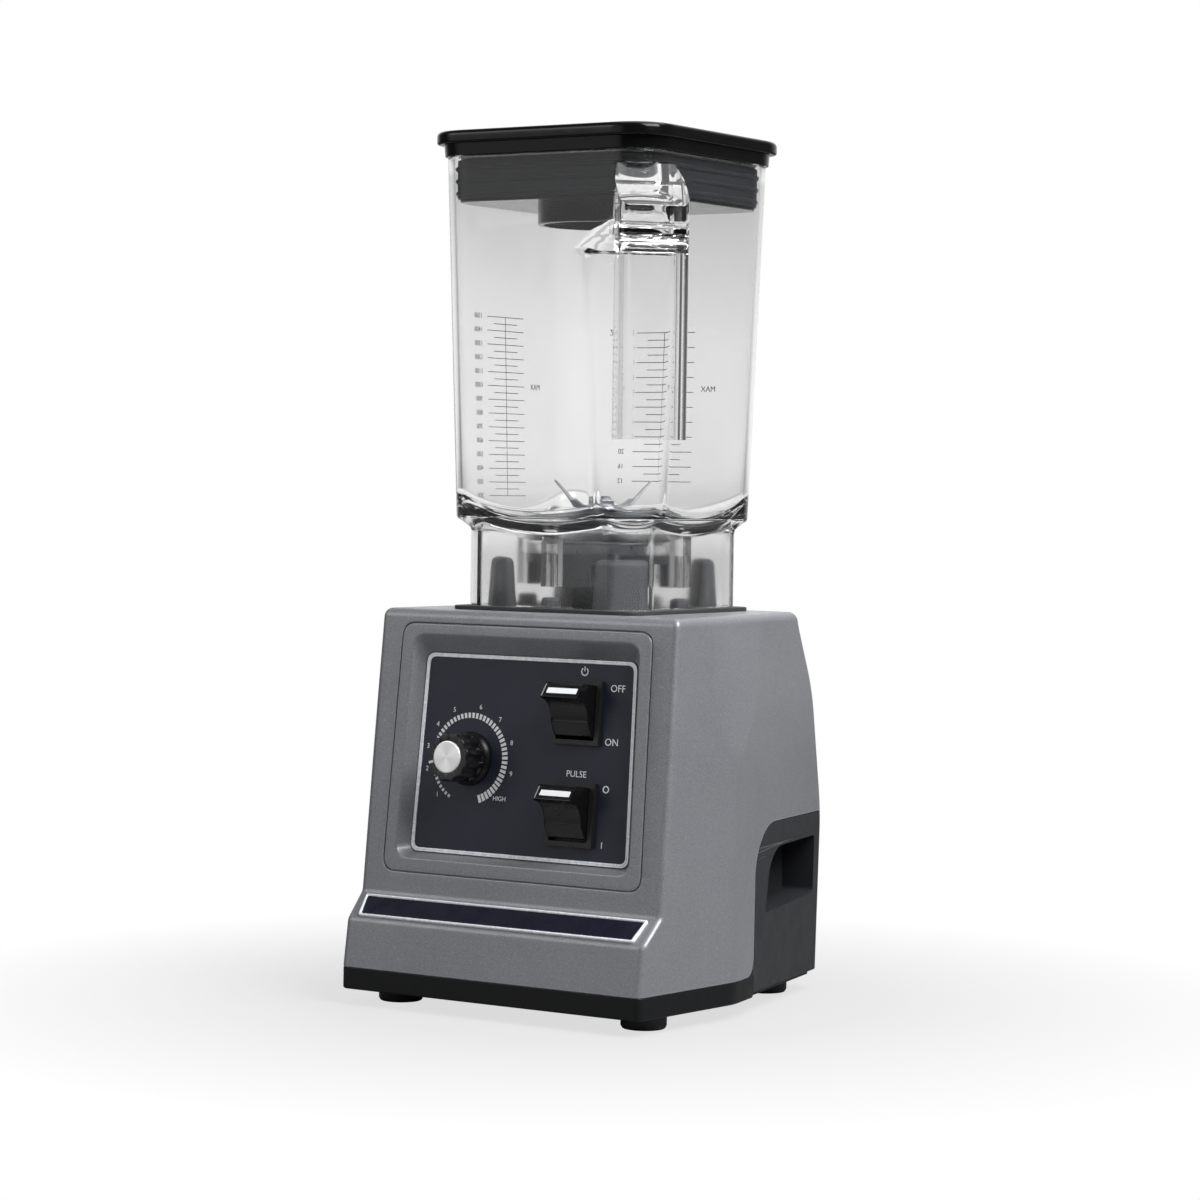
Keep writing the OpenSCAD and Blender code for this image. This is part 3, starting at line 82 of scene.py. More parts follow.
# The leaning face: its lean, the bezel's edge on it, the dial's axis and the switches' middles,
# how far out the sunk panel and the knob's seat lie, and how deep a print reaches into it.
FACE_LEAN = math.atan((LEDGE_REACH - TOP_REACH) / (HOUSING_TOP - LEDGE_TOP))
FACE_FOOT, FACE_HEAD = 13.5, 157.5
FACE_FOOT_HALF, FACE_HEAD_HALF = 88.5, 85.7
DIAL = (-38.0, 81.0)
SWITCHES = {"power_rocker": (35.0, 111.0), "pulse_rocker": (35.0, 53.4)}
PANEL_OUT = -8.0
KNOB_OUT = PANEL_OUT + 0.3
SUNK_INTO = 0.02

# The dial's printing, in degrees counterclockwise from the right: marks and the knob's pointer.
SCALE_START, SCALE_SWEEP, SCALE_COUNT, SCALE_REACH = 240, 309, 52, 26.5
POINTER_AT, NUMBER_REACH = 197, 30.4

# The jar: its seat and pad, the bowl's lowest point, the wall's foot and rim, and its thickness.
PAD_TOP, SEAT, FLOOR_Z, JAR_FOOT, JAR_RIM = 231.3, 231.6, 268.0, 283.0, 491.0
JAR_WALL, JAR_FOOT_HALF, JAR_FLARE = 3.5, 66.8, 6.7
JAR_FOOT_SETBACK, SETBACK_GAIN = 21, 5
BOWL, BOWL_WALL, BOWL_EDGE = 150.0, 4.5, 6.0
HUB_HOLE, HUB_SEAT, NUT_TOP, NUT_RADIUS = 25.2, 33.6, 262.0, 44.0
PEG_RING = 52

# The flat recess behind the handle: its distance, where it steps out again and how steeply.
RECESS, RECESS_TOP, RECESS_STEP = 74, 433, 1.15
HANDLE_CORNER = -math.pi / 4

LID_LOW, LID_TOP, LID_HALF, LID_SETBACK = 498.2, 505.7, 78.4, 27

# The camera: degrees round, above level and of roll; metres away, aside and up; lens in mm.
CAMERA_AROUND, CAMERA_ABOVE, CAMERA_ROLL = 33.14, 1.971, 0.823
CAMERA_AWAY, CAMERA_ASIDE, CAMERA_HEIGHT = 2.02963, -0.001127, 0.234737
SENSOR, LENS = 36.0, 103.4652


# ---- Plans and profiles ----

def along(z, table, ease):
    """Broken line through the table's points at z, with rounded bends: the value is the mean of
    the line at thirteen heights from z - ease to z + ease."""
    z = np.asarray(z, float)
    knots, values = np.array(table, float).T
    window = ease * np.linspace(-1, 1, 13)
    return np.interp(z[..., None] + window, knots, values).mean(-1)


def soft_outline(corners, setbacks, steps=10):
    """Closed outlines with softened corners: from setback to setback each corner follows the
    straight line plus 2s(1 - s) times the corner's offset from that line's middle, a parabola
    that touches both sides."""
    corners = np.asarray(corners, float)
    setbacks = np.broadcast_to(setbacks, corners.shape[:-1])[..., None]
    before, after = np.roll(corners, 1, -2) - corners, np.roll(corners, -1, -2) - corners
    start = corners + setbacks * before / np.linalg.norm(before, axis=-1, keepdims=True)
    end = corners + setbacks * after / np.linalg.norm(after, axis=-1, keepdims=True)
    s = np.linspace(0, 1, steps + 1)[:, None]
    line = (1 - s) * start[..., None, :] + s * end[..., None, :]
    curve = line + 2 * s * (1 - s) * (corners - (start + end) / 2)[..., None, :]
    return curve.reshape(*corners.shape[:-2], -1, 2)


def raised(outlines, z):
    """Outlines (rings, points, 2) lifted to their heights z."""
    z = np.broadcast_to(np.asarray(z, float)[..., None, None], outlines.shape[:-1] + (1,))
    return np.concatenate([outlines, z], -1)


def body_rings(z, inset=0.0):
    """Plan outlines of the base at heights z, each line moved inwards by inset. The plan has two
    corners at the front, two where the sides fold and two at the rear, all on lines eased in z.
    The front ones are SIDE_HALF out at y = SIDE_Y, plus SIDE_SLOPE times the way back from
    there, less SIDE_LEAN times the height over the band."""
    z, inset = np.broadcast_arrays(np.asarray(z, float), np.asarray(inset, float))
    front = -along(z, FRONT, FRONT_EASE)
    rear = along(z, REAR, REAR_EASE) - inset
    over_band = np.maximum(z, BAND_TOP) - BAND_TOP
    corner = SIDE_HALF + SIDE_SLOPE * (front - SIDE_Y) - SIDE_LEAN * over_band - inset
    front = front + inset
    middle = along(z, MIDDLE_HALF, SIDE_EASE) - inset
    back = along(z, REAR_HALF, SIDE_EASE) - inset
    middle_y = along(z, MIDDLE_Y, SIDE_EASE)
    fold = along(z, FOLD_SETBACK, FOLD_EASE)
    near = np.maximum(NEAR_SETBACK - inset, LEAST_SETBACK)
    corners = np.stack([
        np.stack([-corner, front], -1), np.stack([corner, front], -1),
        np.stack([middle, middle_y], -1), np.stack([back, rear], -1),
        np.stack([-back, rear], -1), np.stack([-middle, middle_y], -1)], -2)
    setbacks = np.stack([near, near, fold, near + 0.5, near + 0.5, fold], -1)
    return raised(soft_outline(corners, setbacks), z)


def face_rings(stations, steps=10):
    """Outlines on the leaning front face. Each station gives the margins inside the bezel's edge
    at the sides, foot and head, the corner setback, and the height out of the face."""
    side, low, high, setback, out = np.array(stations, float).T
    foot, head = FACE_FOOT + low, FACE_HEAD - high
    at_foot, at_head = FACE_FOOT_HALF - side, FACE_HEAD_HALF - side
    corners = np.stack([
        np.stack([-at_foot, foot], -1), np.stack([at_foot, foot], -1),
        np.stack([at_head, head], -1), np.stack([-at_head, head], -1)], -2)
    return raised(soft_outline(corners, setback[:, None], steps), out)


def on_front(points):
    """Points (across, up the face, out of the face) taken to the frame: turned about X by the
    face's lean, from the line where the face meets the ledge."""
    x, s, w = np.moveaxis(np.asarray(points, float), -1, 0)
    sin, cos = math.sin(FACE_LEAN), math.cos(FACE_LEAN)
    return np.stack([x, -LEDGE_REACH + s * sin - w * cos, LEDGE_TOP + s * cos + w * sin], -1)


def on_ledge(points):
    """Points (across, up the sloping ledge, out of it) taken to the frame: turned about X by the
    ledge's slope, from the line where the ledge meets the toe."""
    x, s, w = np.moveaxis(np.asarray(points, float), -1, 0)
    slope = math.atan2(LEDGE_TOP - TOE_TOP, TOE_REACH - LEDGE_REACH)
    sin, cos = math.sin(slope), math.cos(slope)
    return np.stack([x, -TOE_REACH + s * cos - w * sin, TOE_TOP + s * sin + w * cos], -1)


def square_reach(angle, half, setback, bend=1.0):
    """Distance from the middle to a softened square's edge in the direction of angle. On a side
    it is half over the cosine. In a corner the edge is the parabola p = p0 + bend c/2 (1 -
    (q/c)^2) across the diagonal, with c the setback over root two, met by the ray q = p tan."""
    turn = np.abs((angle + math.pi / 4) % (math.pi / 2) - math.pi / 4)
    side = half / np.cos(turn)
    off = math.pi / 4 - turn
    c = setback / math.sqrt(2)
    a = bend * np.tan(off) ** 2 / (2 * c)
    b = (2 * half - setback) / math.sqrt(2) + bend * c / 2
    corner = 2 * b / (1 + np.sqrt(1 + 4 * a * b)) / np.cos(off)
    return np.where(half * np.tan(turn) > half - setback, corner, side)


def turned(angle, reach, z):
    """Rings of points at a reach and a height in each direction: x = r cos a, y = r sin a."""
    angle, reach, z = np.broadcast_arrays(angle, reach, z)
    return np.stack([reach * np.cos(angle), reach * np.sin(angle), z], -1)


def circle(count):
    """Directions evenly round a full turn, from 0 up to but not including 2 pi."""
    return np.linspace(0, 2 * math.pi, count, endpoint=False)


def revolved(profile, count=96, at=(0, 0)):
    """A profile of (radius, height) pairs carried round the Z axis through at."""
    radius, z = np.array(profile, float).T
    points = turned(circle(count)[None], radius[:, None], z[:, None])
    return points + np.array([at[0], at[1], 0])


def square_rings(stations, count=256):
    """Rings of softened squares, each given by half width, setback and height."""
    half, setback, z = np.array(stations, float).T[:, :, None]
    return turned(circle(count)[None], square_reach(circle(count)[None], half, setback), z)


def arc(centre, radius, start, end, steps):
    """Points on an arc between two angles in degrees."""
    a = np.radians(np.linspace(start, end, steps))
    return np.stack([centre[0] + radius * np.cos(a), centre[1] + radius * np.sin(a)], -1)


# ---- Meshes ----

def piece(name, points, faces):
    """A mesh object from points in millimetres, welded, with its faces turned outwards."""
    mesh = bpy.data.meshes.new(name)
    mesh.from_pydata((np.asarray(points, float).reshape(-1, 3) * MM).tolist(), [], faces)
    work = bmesh.new()
    work.from_mesh(mesh)
    bmesh.ops.remove_doubles(work, verts=work.verts, dist=2e-6)
    bmesh.ops.dissolve_degenerate(work, edges=work.edges, dist=1e-7)
    bmesh.ops.recalc_face_normals(work, faces=work.faces)
    work.to_mesh(mesh)
    work.free()
    thing = bpy.data.objects.new(name, mesh)
    bpy.context.scene.collection.objects.link(thing)
    return thing


def grid_faces(rows, columns, looped=False):
    """Quads of a grid whose rows are closed rings. A looped grid also joins its last row to its
    first. Otherwise both ends get a cap."""
    index = np.arange(rows * columns).reshape(rows, columns)
    below = index if looped else index[:-1]
    above = np.roll(index, -1, 0) if looped else index[1:]
    quads = np.stack([below, np.roll(below, -1, 1), np.roll(above, -1, 1), above], -1)
    faces = quads.reshape(-1, 4).tolist()
    return faces if looped else faces + [index[0, ::-1].tolist(), index[-1].tolist()]


def grid(name, rings, looped=False):
    """A closed surface through a stack of rings with the same number of points."""
    return piece(name, rings, grid_faces(*rings.shape[:2], looped))


def bars(name, outlines, low, high, place=None):
    """Many small prisms in one mesh: outlines (n, k, 2) between two heights."""
    outlines = np.asarray(outlines, float)
    count, sides = outlines.shape[:2]
    levels = np.stack([raised(outlines, np.full(count, low)),
                       raised(outlines, np.full(count, high))], 1)
    points = levels.reshape(-1, 3)
    one = grid_faces(2, sides)
    first = (np.arange(count) * 2 * sides)[:, None, None]
    quads, ends = np.array(one[:sides])[None] + first, np.array(one[sides:])[None] + first
    faces = quads.reshape(-1, 4).tolist() + ends.reshape(-1, sides).tolist()
    return piece(name, place(points) if place else points, faces)


def prism(name, outline, low, high, place=None):
    """One outline carried from low to high."""
    return bars(name, np.asarray(outline, float)[None], low, high, place)


def box(name, low, high):
    """A block between two opposite corners."""
    (x0, y0, z0), (x1, y1, z1) = low, high
    return prism(name, [(x0, y0), (x1, y0), (x1, y1), (x0, y1)], z0, z1)


def sideways(points):
    """Takes a profile drawn as (forward, up) and its thickness to (thickness, forward, up)."""
    return np.asarray(points)[..., [2, 0, 1]]


def upright(points):
    """Takes a drawing (across, up) and its thickness to (across, thickness, up)."""
    return np.asarray(points)[..., [0, 2, 1]]


def round_z(points, degrees):
    """Points turned about Z by an angle a: x cos a - y sin a and x sin a + y cos a."""
    a = math.radians(degrees)
    x, y, z = np.moveaxis(np.asarray(points, float), -1, 0)
    return np.stack([x * math.cos(a) - y * math.sin(a), x * math.sin(a) + y * math.cos(a), z], -1)


def applied(thing):
    """Applies the object's modifiers to its mesh."""
    bpy.context.view_layer.update()
    graph = bpy.context.evaluated_depsgraph_get()
    mesh = bpy.data.meshes.new_from_object(thing.evaluated_get(graph))
    thing.modifiers.clear()
    thing.data = mesh
    return thing


def carve(thing, *tools, how="DIFFERENCE"):
    """Cuts, joins or trims a solid with others, which are then removed."""
    for tool in tools:
        step = thing.modifiers.new("carve", "BOOLEAN")
        step.solver, step.operation, step.object = "EXACT", how, tool
    applied(thing)
    for tool in tools:
        bpy.data.objects.remove(tool)
    work = bmesh.new()
    work.from_mesh(thing.data)
    bmesh.ops.remove_doubles(work, verts=work.verts, dist=2e-6)
    bmesh.ops.dissolve_degenerate(work, edges=work.edges, dist=1e-6)
    work.to_mesh(thing.data)
    work.free()
    return thing


def eased_edges(thing, width, segments, angle):
    """Rounds the edges sharper than an angle, for the light that real edges catch."""
    step = thing.modifiers.new("edge round", "BEVEL")
    step.width, step.segments, step.limit_method = width * MM, segments, "ANGLE"
    step.angle_limit = math.radians(angle)
    step.use_clamp_overlap, step.miter_outer = True, "MITER_ARC"
    return applied(thing)


def refined(node, width, segments=2):
    """A merged copy of a frame node's solid, with faces that lie within half a degree of flat
    joined and edges sharper than 40 degrees rounded."""
    mesh = NODES[node].data.copy()
    work = bmesh.new()
    work.from_mesh(mesh)
    bmesh.ops.remove_doubles(work, verts=work.verts, dist=1e-6)
    bmesh.ops.dissolve_limit(work, angle_limit=math.radians(0.5), verts=work.verts,
                             edges=work.edges)
    work.to_mesh(mesh)
    work.free()
    mesh.materials.clear()
    thing = bpy.data.objects.new(node + "_fine", mesh)
    bpy.context.scene.collection.objects.link(thing)
    return eased_edges(thing, width, segments, 40)


def finish_piece(thing, name, material, body, nodes=(), angle=32):
    """Names a piece, shades it smooth up to an angle, with flat faces kept flat, and puts it on
    its body."""
    thing.data.shade_smooth()
    thing.data.set_sharp_from_angle(angle=math.radians(angle))
    even = thing.modifiers.new("even shading", "WEIGHTED_NORMAL")
    even.keep_sharp = True
    applied(thing)
    thing.name = thing.data.name = name
    thing.data.materials.clear()
    thing.data.materials.append(material)
    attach(thing, body)
    if nodes:
        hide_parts(*nodes)
    return thing


def fine_pieces(table):
    """Finishes frame nodes that keep their own solid. Each row gives the node, the width of its
    rounded edges, its finish, its slot (not used) and its body."""
    for node, width, finish, slot, body in table:
        finish_piece(refined(node, width), node + "_fine", Finishes[finish], body, [node])


def dress(names, material):
    """Gives frame nodes a material in place of their plain one."""
    for name in names:
        mesh = NODES[name].data
        for k in range(len(mesh.materials)):
            mesh.materials[k] = material
        if not mesh.materials:
            mesh.materials.append(material)


def lettering(text, size, x, y, thick, mirror=False):
    """Plain letters centred on (x, y) of a drawing plane, from 0 to thick out of it, as points
    in millimetres and faces."""
    curve = bpy.data.curves.new("letters", "FONT")
    curve.body, curve.size, curve.extrude = text, size, thick / 2
    curve.align_x, curve.align_y, curve.resolution_u = "CENTER", "CENTER", 3
    thing = bpy.data.objects.new("letters", curve)
    bpy.context.scene.collection.objects.link(thing)
    bpy.context.view_layer.update()
    graph = bpy.context.evaluated_depsgraph_get()
    mesh = bpy.data.meshes.new_from_object(thing.evaluated_get(graph))
    points = np.empty(len(mesh.vertices) * 3)
    mesh.vertices.foreach_get("co", points)
    faces = [list(face.vertices) for face in mesh.polygons]
    bpy.data.objects.remove(thing)
    points = points.reshape(-1, 3)
    if mirror:
        points[:, 0] *= -1
    return points + np.array([x, y, thick / 2]), faces


def joined(name, parts, place=None):
    """Several (points, faces) pairs as one mesh object."""
    points, faces, base = [], [], 0
    for part_points, part_faces in parts:
        points.append(part_points)
        faces += [[k + base for k in face] for face in part_faces]
        base += len(part_points)
    points = np.concatenate(points)
    return piece(name, place(points) if place else points, faces)


def four_round(name, rings, start=0):
    """One solid repeated every quarter turn about the Z axis, from a first angle in degrees."""
    faces = grid_faces(*rings.shape[:2])
    return joined(name, [(round_z(rings, start + 90 * k).reshape(-1, 3), faces)
                         for k in range(4)])


# ---- Finishes ----

class Nodes:
    """A node tree, with short ways to add nodes and to join them."""

    def __init__(self, tree):
        self.tree = tree

    def node(self, kind, **values):
        made = self.tree.nodes.new(kind)
        for key, value in values.items():
            setattr(made, key, value)
        return made

    def link(self, out, to):
        self.tree.links.new(out, to)

    def feed(self, value, to):
        """Joins an output to a socket, or sets the socket to a plain number."""
        if isinstance(value, bpy.types.NodeSocket):
            self.link(value, to)
        else:
            to.default_value = value

    def maths(self, operation, *values, **settings):
        """One sum on outputs or plain numbers."""
        made = self.node("ShaderNodeMath", operation=operation, **settings)
        for k, value in enumerate(values):
            self.feed(value, made.inputs[k])
        return made.outputs[0]

    def ranged(self, value, low, high, out_low, out_high, way="LINEAR"):
        """Goes from out_low, where value is low, to out_high, where it is high, and no
        further."""
        made = self.node("ShaderNodeMapRange", interpolation_type=way)
        self.link(value, made.inputs["Value"])
        for key, number in (("From Min", low), ("From Max", high),
                            ("To Min", out_low), ("To Max", out_high)):
            made.inputs[key].default_value = number
        return made.outputs["Result"]

    def mixed(self, share, one, other):
        """A shader that is one where share is 0 and the other where it is 1."""
        made = self.node("ShaderNodeMixShader")
        for k, value in enumerate((share, one, other)):
            self.link(value, made.inputs[k])
        return made.outputs[0]


class Surface(Nodes):
    """A material built from nodes on Object coordinates, in metres."""

    MIX_SHARE, MIX_FROM, MIX_TO, MIX_RESULT = 0, 6, 7, 2

    def __init__(self, name, colour, roughness, metallic=0.0, specular=0.5, coat=0.0):
        self.name = name
        self.material = bpy.data.materials.new(name + "_finish")
        self.material.use_nodes = True
        super().__init__(self.material.node_tree)
        self.shader = self.tree.nodes["Principled BSDF"]
        self.colour, self.roughness = colour, roughness
        self.set("Base Color", (*colour, 1))
        self.set("Roughness", roughness)
        self.set("Metallic", metallic)
        self.set("Specular IOR Level", specular)
        self.set("Coat Weight", coat)
        self.set("Coat Roughness", 0.12)
        self.place = self.node("ShaderNodeTexCoord").outputs["Object"]
        self.base = None
        self.bump_from = None

    def set(self, socket, value):
        self.shader.inputs[socket].default_value = value

    def show(self, out, way="Surface"):
        """Joins a shader to the material's output."""
        self.link(out, self.tree.nodes["Material Output"].inputs[way])

    def noise(self, size, detail=3.0, stretch=None):
        """Soft noise whose features are about size millimetres, drawn out by stretch."""
        made = self.node("ShaderNodeTexNoise")
        made.inputs["Scale"].default_value = 1.0 / (size * MM)
        made.inputs["Detail"].default_value = detail
        place = self.place
        if stretch:
            mapping = self.node("ShaderNodeMapping")
            mapping.inputs["Scale"].default_value = stretch
            self.link(place, mapping.inputs["Vector"])
            place = mapping.outputs["Vector"]
        self.link(place, made.inputs["Vector"])
        return made.outputs["Fac"]

    def blend(self, share, other):
        """Mixes the colour so far towards another colour by a share."""
        made = self.node("ShaderNodeMix", data_type="RGBA")
        self.link(share, made.inputs[self.MIX_SHARE])
        start = (*self.colour, 1) if self.base is None else self.base
        self.feed(start, made.inputs[self.MIX_FROM])
        made.inputs[self.MIX_TO].default_value = (*other, 1)
        self.base = made.outputs[self.MIX_RESULT]
        self.link(self.base, self.shader.inputs["Base Color"])

    def tone(self, size, amount):
        """Slow patches that are lighter by up to an amount."""
        self.blend(self.ranged(self.noise(size), 0.35, 0.7, 0, 1),
                   tuple(min(c * (1 + amount), 1) for c in self.colour))

    def speckle(self, size, other, share, low=0.55, high=0.68):
        """Fine specks of another colour, such as metal flake."""
        self.blend(self.ranged(self.noise(size, 1.0), low, high, 0, share), other)

    def worn(self, size, spread):
        """Roughness that wanders by spread either way."""
        out = self.ranged(self.noise(size, 4.0), 0.3, 0.7, max(self.roughness - spread, 0.02),
                          self.roughness + spread)
        self.link(out, self.shader.inputs["Roughness"])

    def grain(self, size, height, strength=1.0, detail=2.0, stretch=None):
        """A bumpy grain of a height in millimetres."""
        made = self.node("ShaderNodeBump")
        made.inputs["Distance"].default_value = height * MM
        made.inputs["Strength"].default_value = strength
        self.link(self.noise(size, detail, stretch), made.inputs["Height"])
        if self.bump_from is not None:
            self.link(self.bump_from, made.inputs["Normal"])
        self.bump_from = made.outputs["Normal"]
        self.link(self.bump_from, self.shader.inputs["Normal"])

    def edge_light(self, radius, other, share):
        """Painted highlight on edges: the colour is lightened where the rounded normal departs from
        the face's, in place of the bright lines that light draws along them.
        """
        round_normal = self.node("ShaderNodeBevel", samples=4)
        round_normal.inputs["Radius"].default_value = radius * MM
        flat = self.node("ShaderNodeNewGeometry")
        dot = self.node("ShaderNodeVectorMath", operation="DOT_PRODUCT")
        self.link(round_normal.outputs["Normal"], dot.inputs[0])
        self.link(flat.outputs["Normal"], dot.inputs[1])
        self.blend(self.ranged(dot.outputs["Value"], 0.99, 0.86, 0, share), other)


def shade(level):
    """Linear value of an sRGB level from 0 to 255."""
    s = level / 255
    return s / 12.92 if s <= 0.04045 else ((s + 0.055) / 1.055) ** 2.4


def rgb(red, green, blue):
    """A linear colour from three sRGB levels."""
    return (shade(red), shade(green), shade(blue))


def plastic(name, colour, roughness, specular=0.45, patch=0.10, grain=0.5, height=0.012,
            coat=0.0, specks=0.12):
    """Moulded plastic: slow tone changes, a fine grain and wandering gloss."""
    made = Surface(name, colour, roughness, 0.0, specular, coat)
    made.tone(38, patch)
    if specks:
        made.speckle(0.5, tuple(min(c * 1.9 + 0.01, 1) for c in colour), specks)
    made.worn(11, min(0.06, roughness * 0.3))
    made.grain(grain, height)
    return made


def metal(name, colour, roughness, stretch=(1, 1, 9), height=0.004, patch=0.12):
    """Worked metal: fine lines drawn out along one way and slow changes of gloss."""
    made = Surface(name, colour, roughness, 1.0)
    made.tone(14, patch)
    made.worn(6, roughness * 0.35)
    made.grain(0.35, height, 1.0, 2.0, stretch)
    return made


class Finishes:
    """All the materials, made once by the first operator that needs them."""

    made = {}

    def __class_getitem__(cls, name):
        if not cls.made:
            cls.build()
        return cls.made[name].material

    @classmethod
    def build(cls):
        colours = bpy.context.scene.jug_colours
        paint = Surface("housing_paint", tuple(colours.housing), 0.42, 0.35, 0.5, 0.15)
        paint.tone(60, 0.07)
        paint.speckle(0.55, rgb(178, 180, 186), 0.34, 0.5, 0.7)
        paint.speckle(0.8, rgb(66, 67, 70), 0.25, 0.56, 0.7)
        # painted highlight: the housing paint is lightened along its rounded edges
        paint.edge_light(1.0, rgb(196, 198, 203), 0.55)
        paint.worn(16, 0.05)
        paint.grain(0.6, 0.010)
        paint.grain(9, 0.02, 0.5)
        cover = plastic("cover_plastic", tuple(colours.cover), 0.5, 0.22, 0.10, 0.7, 0.02)
        band = plastic("black_plastic", tuple(colours.band), 0.48, 0.22, 0.2, 0.6, 0.02)
        rubber = plastic("soft_rubber", rgb(46, 47, 50), 0.62, 0.35, 0.25, 0.5, 0.05, 0.0, 0.3)
        lug = plastic("lug_rubber", rgb(46, 48, 51), 0.55, 0.4, 0.2, 0.8, 0.08, 0.0, 0.3)
        film = plastic("panel_film", tuple(colours.panel), 0.40, 0.35, 0.08, 0.9, 0.008)
        switch = plastic("switch_plastic", rgb(13, 13, 14), 0.24, 0.5, 0.15, 0.9, 0.006)
        rim = plastic("switch_frame", rgb(32, 31, 31), 0.40, 0.35, 0.12, 0.5, 0.02)
        knob = plastic("knob_plastic", rgb(12, 12, 13), 0.26, 0.5, 0.12, 0.9, 0.006)
        enamel = plastic("name_enamel", tuple(colours.name_plate), 0.30, 0.5, 0.12, 1.5, 0.004,
                         0.5)
        lid = plastic("lid_black", tuple(colours.lid), 0.14, 0.22, 0.2, 3.0, 0.003)
        plug = plastic("lid_seal_rubber", rgb(21, 23, 26), 0.5, 0.08, 0.2, 0.8, 0.02)
        retainer = plastic("retainer_black", rgb(30, 32, 35), 0.38, 0.4, 0.2, 0.8, 0.02)
        red = plastic("signal_red", rgb(190, 38, 30), 0.3, 0.5, 0.1, 1.2, 0.005)
        board = plastic("board_green", rgb(28, 92, 58), 0.35, 0.5, 0.15, 0.7, 0.02)
        carbon = plastic("carbon", rgb(44, 44, 46), 0.55, 0.4, 0.2, 0.4, 0.03)
        trim = metal("bright_trim", rgb(236, 240, 245), 0.26, (9, 1, 1), 0.003, 0.06)
        trim.set("Metallic", 0.2)
        # the disc is bright metal, but much of its brightness is painted: a near-white base with
        # little metal stands in for its mirror reflection
        spun = Surface("spun_disc", rgb(253, 253, 253), 0.24, 0.3)
        steel = metal("steel", rgb(196, 198, 202), 0.16, (1, 9, 1), 0.004)
        hub = metal("hub_metal", rgb(128, 133, 138), 0.34, (1, 1, 1), 0.01, 0.1)
        core = metal("core_steel", rgb(98, 100, 105), 0.42, (1, 1, 30), 0.03)
        copper = metal("copper_wire", rgb(176, 92, 44), 0.30, (1, 1, 14), 0.05)
        brass = metal("brush_brass", rgb(190, 158, 84), 0.30)
        ink = plastic("print_white", rgb(228, 230, 232), 0.45, 0.4, 0.04, 0.4, 0.003, 0.0, 0)
        grey_ink = plastic("print_grey", rgb(84, 86, 90), 0.5, 0.3, 0.06, 0.4, 0.003, 0.0, 0)
        cls.spun_face(spun)
        jar = cls.clear("clear_jar", tuple(colours.jar))
        for made in (paint, cover, band, rubber, lug, film, switch, rim, knob, enamel, lid, plug,
                     retainer, red, board, carbon, trim, spun, steel, hub, core, copper, brass,
                     ink, grey_ink, jar):
            cls.made[made.name] = made

    @staticmethod
    def clear(name, colour):
        """Clear moulded plastic: it bends light, takes a little of it by depth, waves a little in
        its skin, is rougher near its foot, and lets the lamps reach what is behind it."""
        made = Surface(name, colour, 0.015, 0.0, 0.5)
        made.set("Transmission Weight", 1.0)
        made.set("IOR", 1.49)
        made.grain(24, 0.05, 0.35)
        made.tone(45, 0.03)
        height = made.node("ShaderNodeSeparateXYZ")
        made.link(made.place, height.inputs[0])
        made.link(made.ranged(height.outputs["Z"], 0.278, 0.300, 0.11, made.roughness),
                  made.shader.inputs["Roughness"])
        inside = made.node("ShaderNodeVolumeAbsorption")
        inside.inputs["Color"].default_value = (0.66, 0.66, 0.66, 1)
        inside.inputs["Density"].default_value = 14.0
        made.show(inside.outputs[0], "Volume")
        clear = made.node("ShaderNodeBsdfTransparent")
        clear.inputs["Color"].default_value = (0.94, 0.94, 0.94, 1)
        path = made.node("ShaderNodeLightPath")
        made.show(made.mixed(path.outputs["Is Shadow Ray"], made.shader.outputs[0],
                             clear.outputs[0]))
        return made

    @staticmethod
    def spun_face(made):
        """Bright turned face with painted reflection: the colour darkens in three fans round the
        axis, in place of the bow-tie reflections of spun metal. The fine rings under it are a real
        bump."""
        centre = on_front([DIAL[0], DIAL[1], PANEL_OUT]) * MM
        mapping = made.node("ShaderNodeMapping", vector_type="TEXTURE")
        mapping.inputs["Location"].default_value = tuple(centre)
        mapping.inputs["Rotation"].default_value = (math.pi / 2 - FACE_LEAN, 0, 0)
        made.link(made.place, mapping.inputs["Vector"])
        fan = made.node("ShaderNodeTexGradient", gradient_type="RADIAL")
        made.link(mapping.outputs["Vector"], fan.inputs["Vector"])
        # painted reflection: the colour goes grey in three fans round the dial's axis
        wave = made.maths("SINE", made.maths("MULTIPLY", fan.outputs["Fac"], 3 * 2 * math.pi))
        made.blend(made.ranged(wave, -1, 1, 0.0, 0.3), rgb(150, 151, 153))
        rings = made.node("ShaderNodeTexWave", wave_type="RINGS", rings_direction="Z")
        rings.inputs["Scale"].default_value = 900
        rings.inputs["Distortion"].default_value = 0.4
        made.link(mapping.outputs["Vector"], rings.inputs["Vector"])
        bump = made.node("ShaderNodeBump")
        bump.inputs["Distance"].default_value = 0.004 * MM
        made.link(rings.outputs["Fac"], bump.inputs["Height"])
        made.link(bump.outputs["Normal"], made.shader.inputs["Normal"])


# ---- Settings ----

def colour_property(name, description, levels):
    """A colour setting whose default is given in sRGB levels."""
    return FloatVectorProperty(name=name, description=description, subtype="COLOR", size=3,
                               min=0, max=1, default=rgb(*levels))


class JugColours(bpy.types.PropertyGroup):
    """Colours of the main finishes."""

    housing: colour_property("Housing", "Metallic grey paint of the base", (124, 125, 130))
    cover: colour_property("Rear cover", "Dark grey plastic behind", (39, 40, 43))
    band: colour_property("Foot band", "Black plastic of the bottom cover", (12, 13, 15))
    panel: colour_property("Panel", "Blue-black film of the control panel", (31, 34, 48))
    name_plate: colour_property("Name plate", "Navy enamel on the ledge", (9, 11, 30))
    lid: colour_property("Lid", "Gloss black of the lid", (7, 7, 8))
    jar: colour_property("Jar", "Tint of the clear jar", (250, 250, 250))


